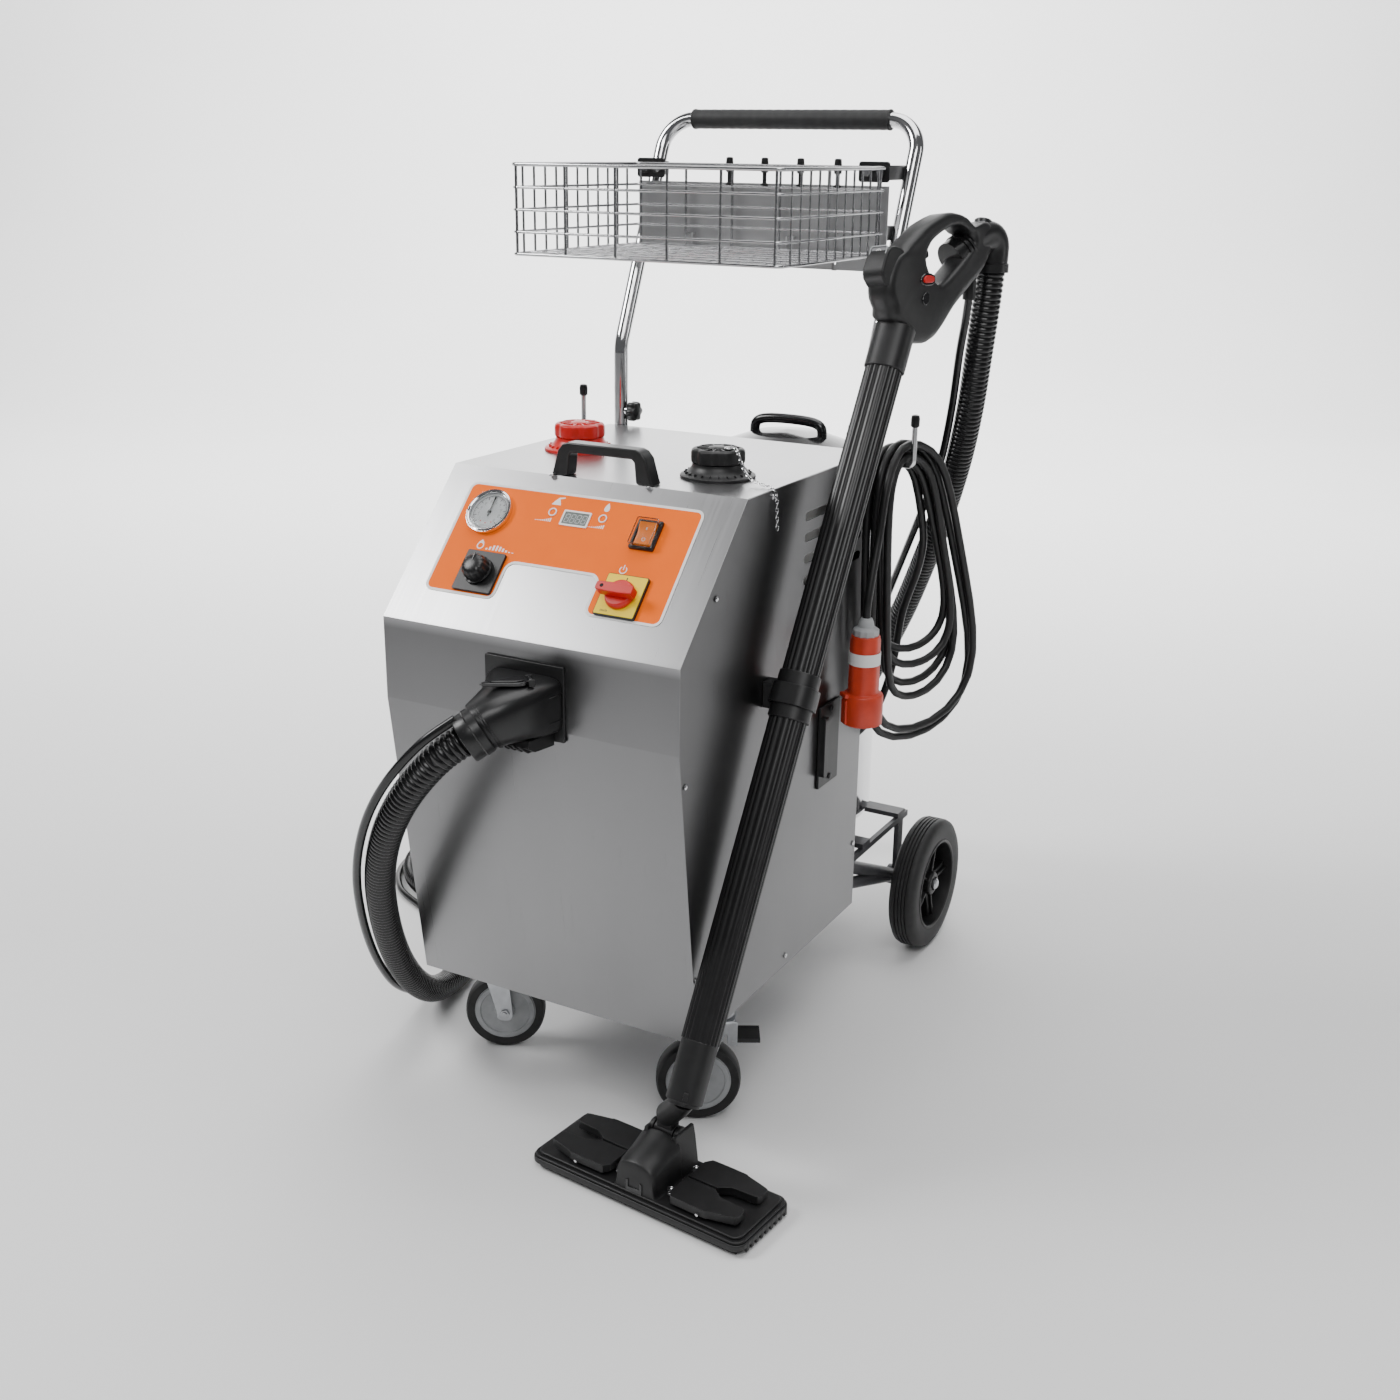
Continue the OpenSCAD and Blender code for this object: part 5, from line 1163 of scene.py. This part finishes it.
def add_handle():
    bm = new()
    line = [(-163 + 326 * k / 120, 0, 0) for k in range(121)]
    add_tube(bm, line, [13.2 if k in (0, 120) else 14.2 + 0.14 * math.sin(k * 1.1) for k in range(121)], 32,
             on_lean(LEAN_LEN))
    for x in (-163, 160):
        add_turned(bm, [(14.6, x), (14.9, x + 1), (14.9, x + 2.4), (14.6, x + 3.4)], 40,
                   on_lean(LEAN_LEN) @ R(90, "Y"))
    make("foam_grip", bm, RUBBER, "handle", "black_plastic", ["handle_grip"], angle=50)
    for side, name in ((-1, "left"), (1, "right")):
        place = T(side * 211, 576, 911) @ R(-90 * side, "Y")

        def lobes(a, r, z):
            return r * (1 - 0.2 * (0.5 + 0.5 * math.cos(6 * a))) if r > 9 else r

        bm = new()
        add_turned(bm, [(3, 11.4), (3, 14.7), (7.5, 15), (14.5, 16), (16, 18), (16, 27), (14.5, 30), (8, 31.5),
                        (2, 32)], 72, place, lobes)
        make("star_grip_" + name, bm, BLACK_SATIN, "star_" + name, "black_plastic", ["star_knob_" + name])
    bm = new()
    add_box(bm, (-205, 205), (620, 621.6), (1158.6, 1254))
    add_box(bm, (-205, 205), (600, 620.4), (1158.5, 1160))
    add_ring(bm, rounded((-205, 205), (1138, 1160), 1), rounded((-204.5, 204.5), (1138.5, 1159.5), 1), -601.5, -600,
             R(90, "X"))
    for x in (-204.5, -131, 137):
        add_box(bm, (x, x + (70.5 if x < -200 else 265 if x < 0 else 67.5)), (600, 601.5), (1138.3, 1159.8))
    for x in (-134, 134):
        add_ring(bm, [(x + 3.4 * a, 1148.6 + 11.4 * b) for a, b in ((1, 1), (-1, 1), (-1, -1), (1, -1))],
                 [(x + 2.6 * a, 1148.4 + 2.6 * b) for a, b in ((1, 1), (-1, 1), (-1, -1), (1, -1))], -601.5, -600,
                 R(90, "X"))
    for x in (-112, 56):
        add_tube(bm, [(x - 5, 618, 1180), (x - 5, 612, 1180), (x - 5, 611, 1174), (x - 5, 611, 1166)], 1.6, 8)
        add_tube(bm, [(x + 5, 618, 1180), (x + 5, 612, 1180), (x + 5, 611, 1174), (x + 5, 611, 1166)], 1.6, 8)
    make("tray_sheet", bm, STEEL_PLATE, "handle", "stainless", ["tool_tray"])
    bm = new()
    for side in (-1, 1):
        for z in (1190, 1272):
            leg = 576 + 60 * (1 - math.cos(math.radians(LEAN)))
            leg += (z - 1000 - 60 * math.sin(math.radians(LEAN))) * math.tan(math.radians(LEAN))
            x = (side * 196 - 7, side * 196 + 7)
            add_box(bm, x, (622, leg - 3), (z - 10, z + 10))
            if z > 1200:
                shape = rounded((159, 206), (1259, 1287), 4)
                if side < 0:
                    shape = [(-a, b) for a, b in reversed(shape)]
                add_prism(bm, shape, -620, -616, R(90, "X"))
                for hole in (171, 192):
                    add_ring(bm, circle(8.2, 28, (side * hole, 1273)), circle(5.6, 28, (side * hole, 1273)), -616,
                             -614, R(90, "X"))
    make("tray_brackets", bm, BLACK_SATIN, "handle", "black_plastic", bevel=0.9)
    bm = new()
    for side in (-1, 1):
        for hole in (171, 192):
            add_prism(bm, circle(5.4, 24, (side * hole, 1273)), -616.4, -615.4, R(90, "X"))
    make("bracket_eyes", bm, CHROME, "handle", "chrome_trim")
    bm = new()
    for x in (-50, 8, 66, 125):
        add_turned(bm, [(3, 1254), (3, 1268), (5.5, 1270), (6, 1278), (5, 1289), (3, 1290)], 20, T(x, 620.8, 0))
        add_turned(bm, [(6.2, 1248), (6.2, 1253), (3, 1255)], 20, T(x, 620.8, 0))
    make("tray_pegs", bm, BLACK_SATIN, "handle", "black_plastic")


def wire(bm, pts, r=1.7):
    add_tube(bm, [Vector(p) for p in pts], r, 8)


def add_basket():
    x0, x1, y0, y1, z0, z1 = -204, 204, 283.5, 610.5, 1161.8, 1278.4
    bm = new()
    for z, r in ((z0, 2.3), (z0 + 29, 1.9), (z0 + 58, 1.9), (z0 + 87, 1.9), (z1, 2.7)):
        ring = [(x, y, z) for x, y in rounded((x0, x1), (y0, y1), 10, 4)]
        add_tube(bm, [Vector(p) for p in ring], r, 8, loop=True)
    for k in range(13):
        y = y0 + (y1 - y0) * k / 12
        if 0 < k < 12:
            wire(bm, [(x0, y, z0), (x0, y, z1)], 1.7)
            wire(bm, [(x1, y, z0), (x1, y, z1)], 1.7)
    for k in range(6):
        x = x0 + 8 + (x1 - x0 - 16) * k / 5
        wire(bm, [(x, y0, z1), (x, y0, z0)], 2.0)
        wire(bm, [(x, y1, z1), (x, y1, z0)], 2.0)
    for k in range(1, 10):
        x = x0 + (x1 - x0) * k / 10
        wire(bm, [(x, y0, z0 - 0.2), (x, y1, z0 - 0.2)], 1.5)
    for k in range(1, 8):
        y = y0 + (y1 - y0) * k / 8
        wire(bm, [(x0, y, z0 + 1), (x1, y, z0 + 1)], 1.5)
    make("basket_wires", bm, WIRE, "handle", "chrome_trim", ["wire_basket"], angle=60)


add_handle()
add_basket()


def add_trim():
    bm = new()
    for side in (-1, 1):
        add_turned(bm, [(4.3, 928), (6.4, 930), (6.6, 940), (5.6, 945), (3, 946)], 24, T(side * 281, 576, 0))
    make("hook_tips", bm, BLACK_SATIN, "body", "black_plastic")
    bm = new()
    add_lathe(bm, [(158.5, 690), (166, 690), (167, 694), (167, 702), (164, 704), (160, 704)], 96, T(0, 742, 0))
    for a in (20, 160):
        m = T(0, 742, 0) @ R(a, "Z")
        add_box(bm, (160, 168), (-14, 14), (640, 712), m)
        add_box(bm, (163, 173), (-9, 9), (672, 724), m)
    make("drum_rim_and_clamps", bm, CHROME, "body", "chrome_trim", bevel=1.2)
    bm = new()
    add_tube(bm, smooth_line([(-60, 742, 868), (-56, 742, 886), (-30, 742, 893), (30, 742, 893), (56, 742, 886),
                              (60, 742, 868)], 5), 8, 16)
    for k in range(9):
        add_box(bm, (-40, 40), (0, 2.4), (0, 3), T(0, 640, 775 + 9 * k) @ R(-50, "X"))
    make("vacuum_head_grip", bm, BLACK_GLOSS, "body", "gloss_black_plastic", bevel=0.6)
    bm = new()
    for side in (-1, 1):
        for y, z in ((88, 780), (15, 557), (49, 274), (317, 190), (549, 280)):
            m = T(side * 226.6, y, z) @ R(90 * side, "Y")
            add_turned(bm, [(3.6, -1), (3.6, 0.4), (2.6, 1.4), (0.8, 1.8)], 20, m)
    make("panel_screws", bm, CHROME, "body", "chrome_trim")


add_trim()


# ---------------------------------------------------------------- floor and light
def add_stage():
    m, tree, shader = principled("studio_floor")
    soft = link_noise(tree, 0.6, (1, 1, 1))
    tint = ramp(tree, soft, (0.86, 0.86, 0.86), (0.9, 0.9, 0.9))
    tree.links.new(tint.outputs["Color"], shader.inputs["Base Color"])
    shader.inputs["Roughness"].default_value = 0.85
    shader.inputs["Specular IOR Level"].default_value = 0.1
    mesh = bpy.data.meshes.new("floor")
    rows = [(-9, 0), (6, 0)]
    for k in range(1, 9):
        a = math.pi / 2 * k / 8
        rows.append((6 + 3 * math.sin(a), 3 - 3 * math.cos(a)))
    rows.append((9, 12))
    verts, faces = [], []
    turn = Matrix.Rotation(CAM_AZ, 4, "Z")
    for y, z in rows:
        verts += [turn @ Vector((-14, y, z - 0.0005)), turn @ Vector((14, y, z - 0.0005))]
    for i in range(len(rows) - 1):
        faces.append((2 * i, 2 * i + 1, 2 * i + 3, 2 * i + 2))
    mesh.from_pydata([tuple(v) for v in verts], [], faces)
    mesh.shade_smooth()
    mesh.materials.append(m)
    floor = bpy.data.objects.new("floor", mesh)
    bpy.context.collection.objects.link(floor)


def area_light(name, at, to, size, power, tint=(1, 1, 1)):
    data = bpy.data.lights.new(name, "AREA")
    data.shape = "RECTANGLE"
    data.size, data.size_y = size
    data.energy = power
    data.color = tint
    ob = bpy.data.objects.new(name, data)
    ob.matrix_world = Matrix.Translation(at) @ (Vector(to) - Vector(at)).to_track_quat("-Z", "Y").to_matrix().to_4x4()
    bpy.context.collection.objects.link(ob)


add_stage()
area_light("key", (-2.8, -1.4, 3.4), (0, 0.3, 0.4), (1.4, 1.4), 110)
area_light("top", (0.2, 0.9, 4.4), (0, 0.6, 0), (3.4, 3.4), 120)
area_light("wall", (-1.5, 3.2, 5.2), (-4, 9, 1.5), (6.0, 3.0), 1400)
area_light("rim", (3.6, 1.8, 1.6), (0.2, 0.5, 0.8), (0.4, 2.4), 14)
area_light("floor_fill", (1.6, -2.4, 3.4), (0.5, -1.2, 0), (2.4, 1.6), 70)
world = bpy.data.worlds.new("studio")
world.use_nodes = True
world.node_tree.nodes["Background"].inputs["Color"].default_value = (0.5, 0.505, 0.52, 1)
world.node_tree.nodes["Background"].inputs["Strength"].default_value = 0.22
bpy.context.scene.world = world
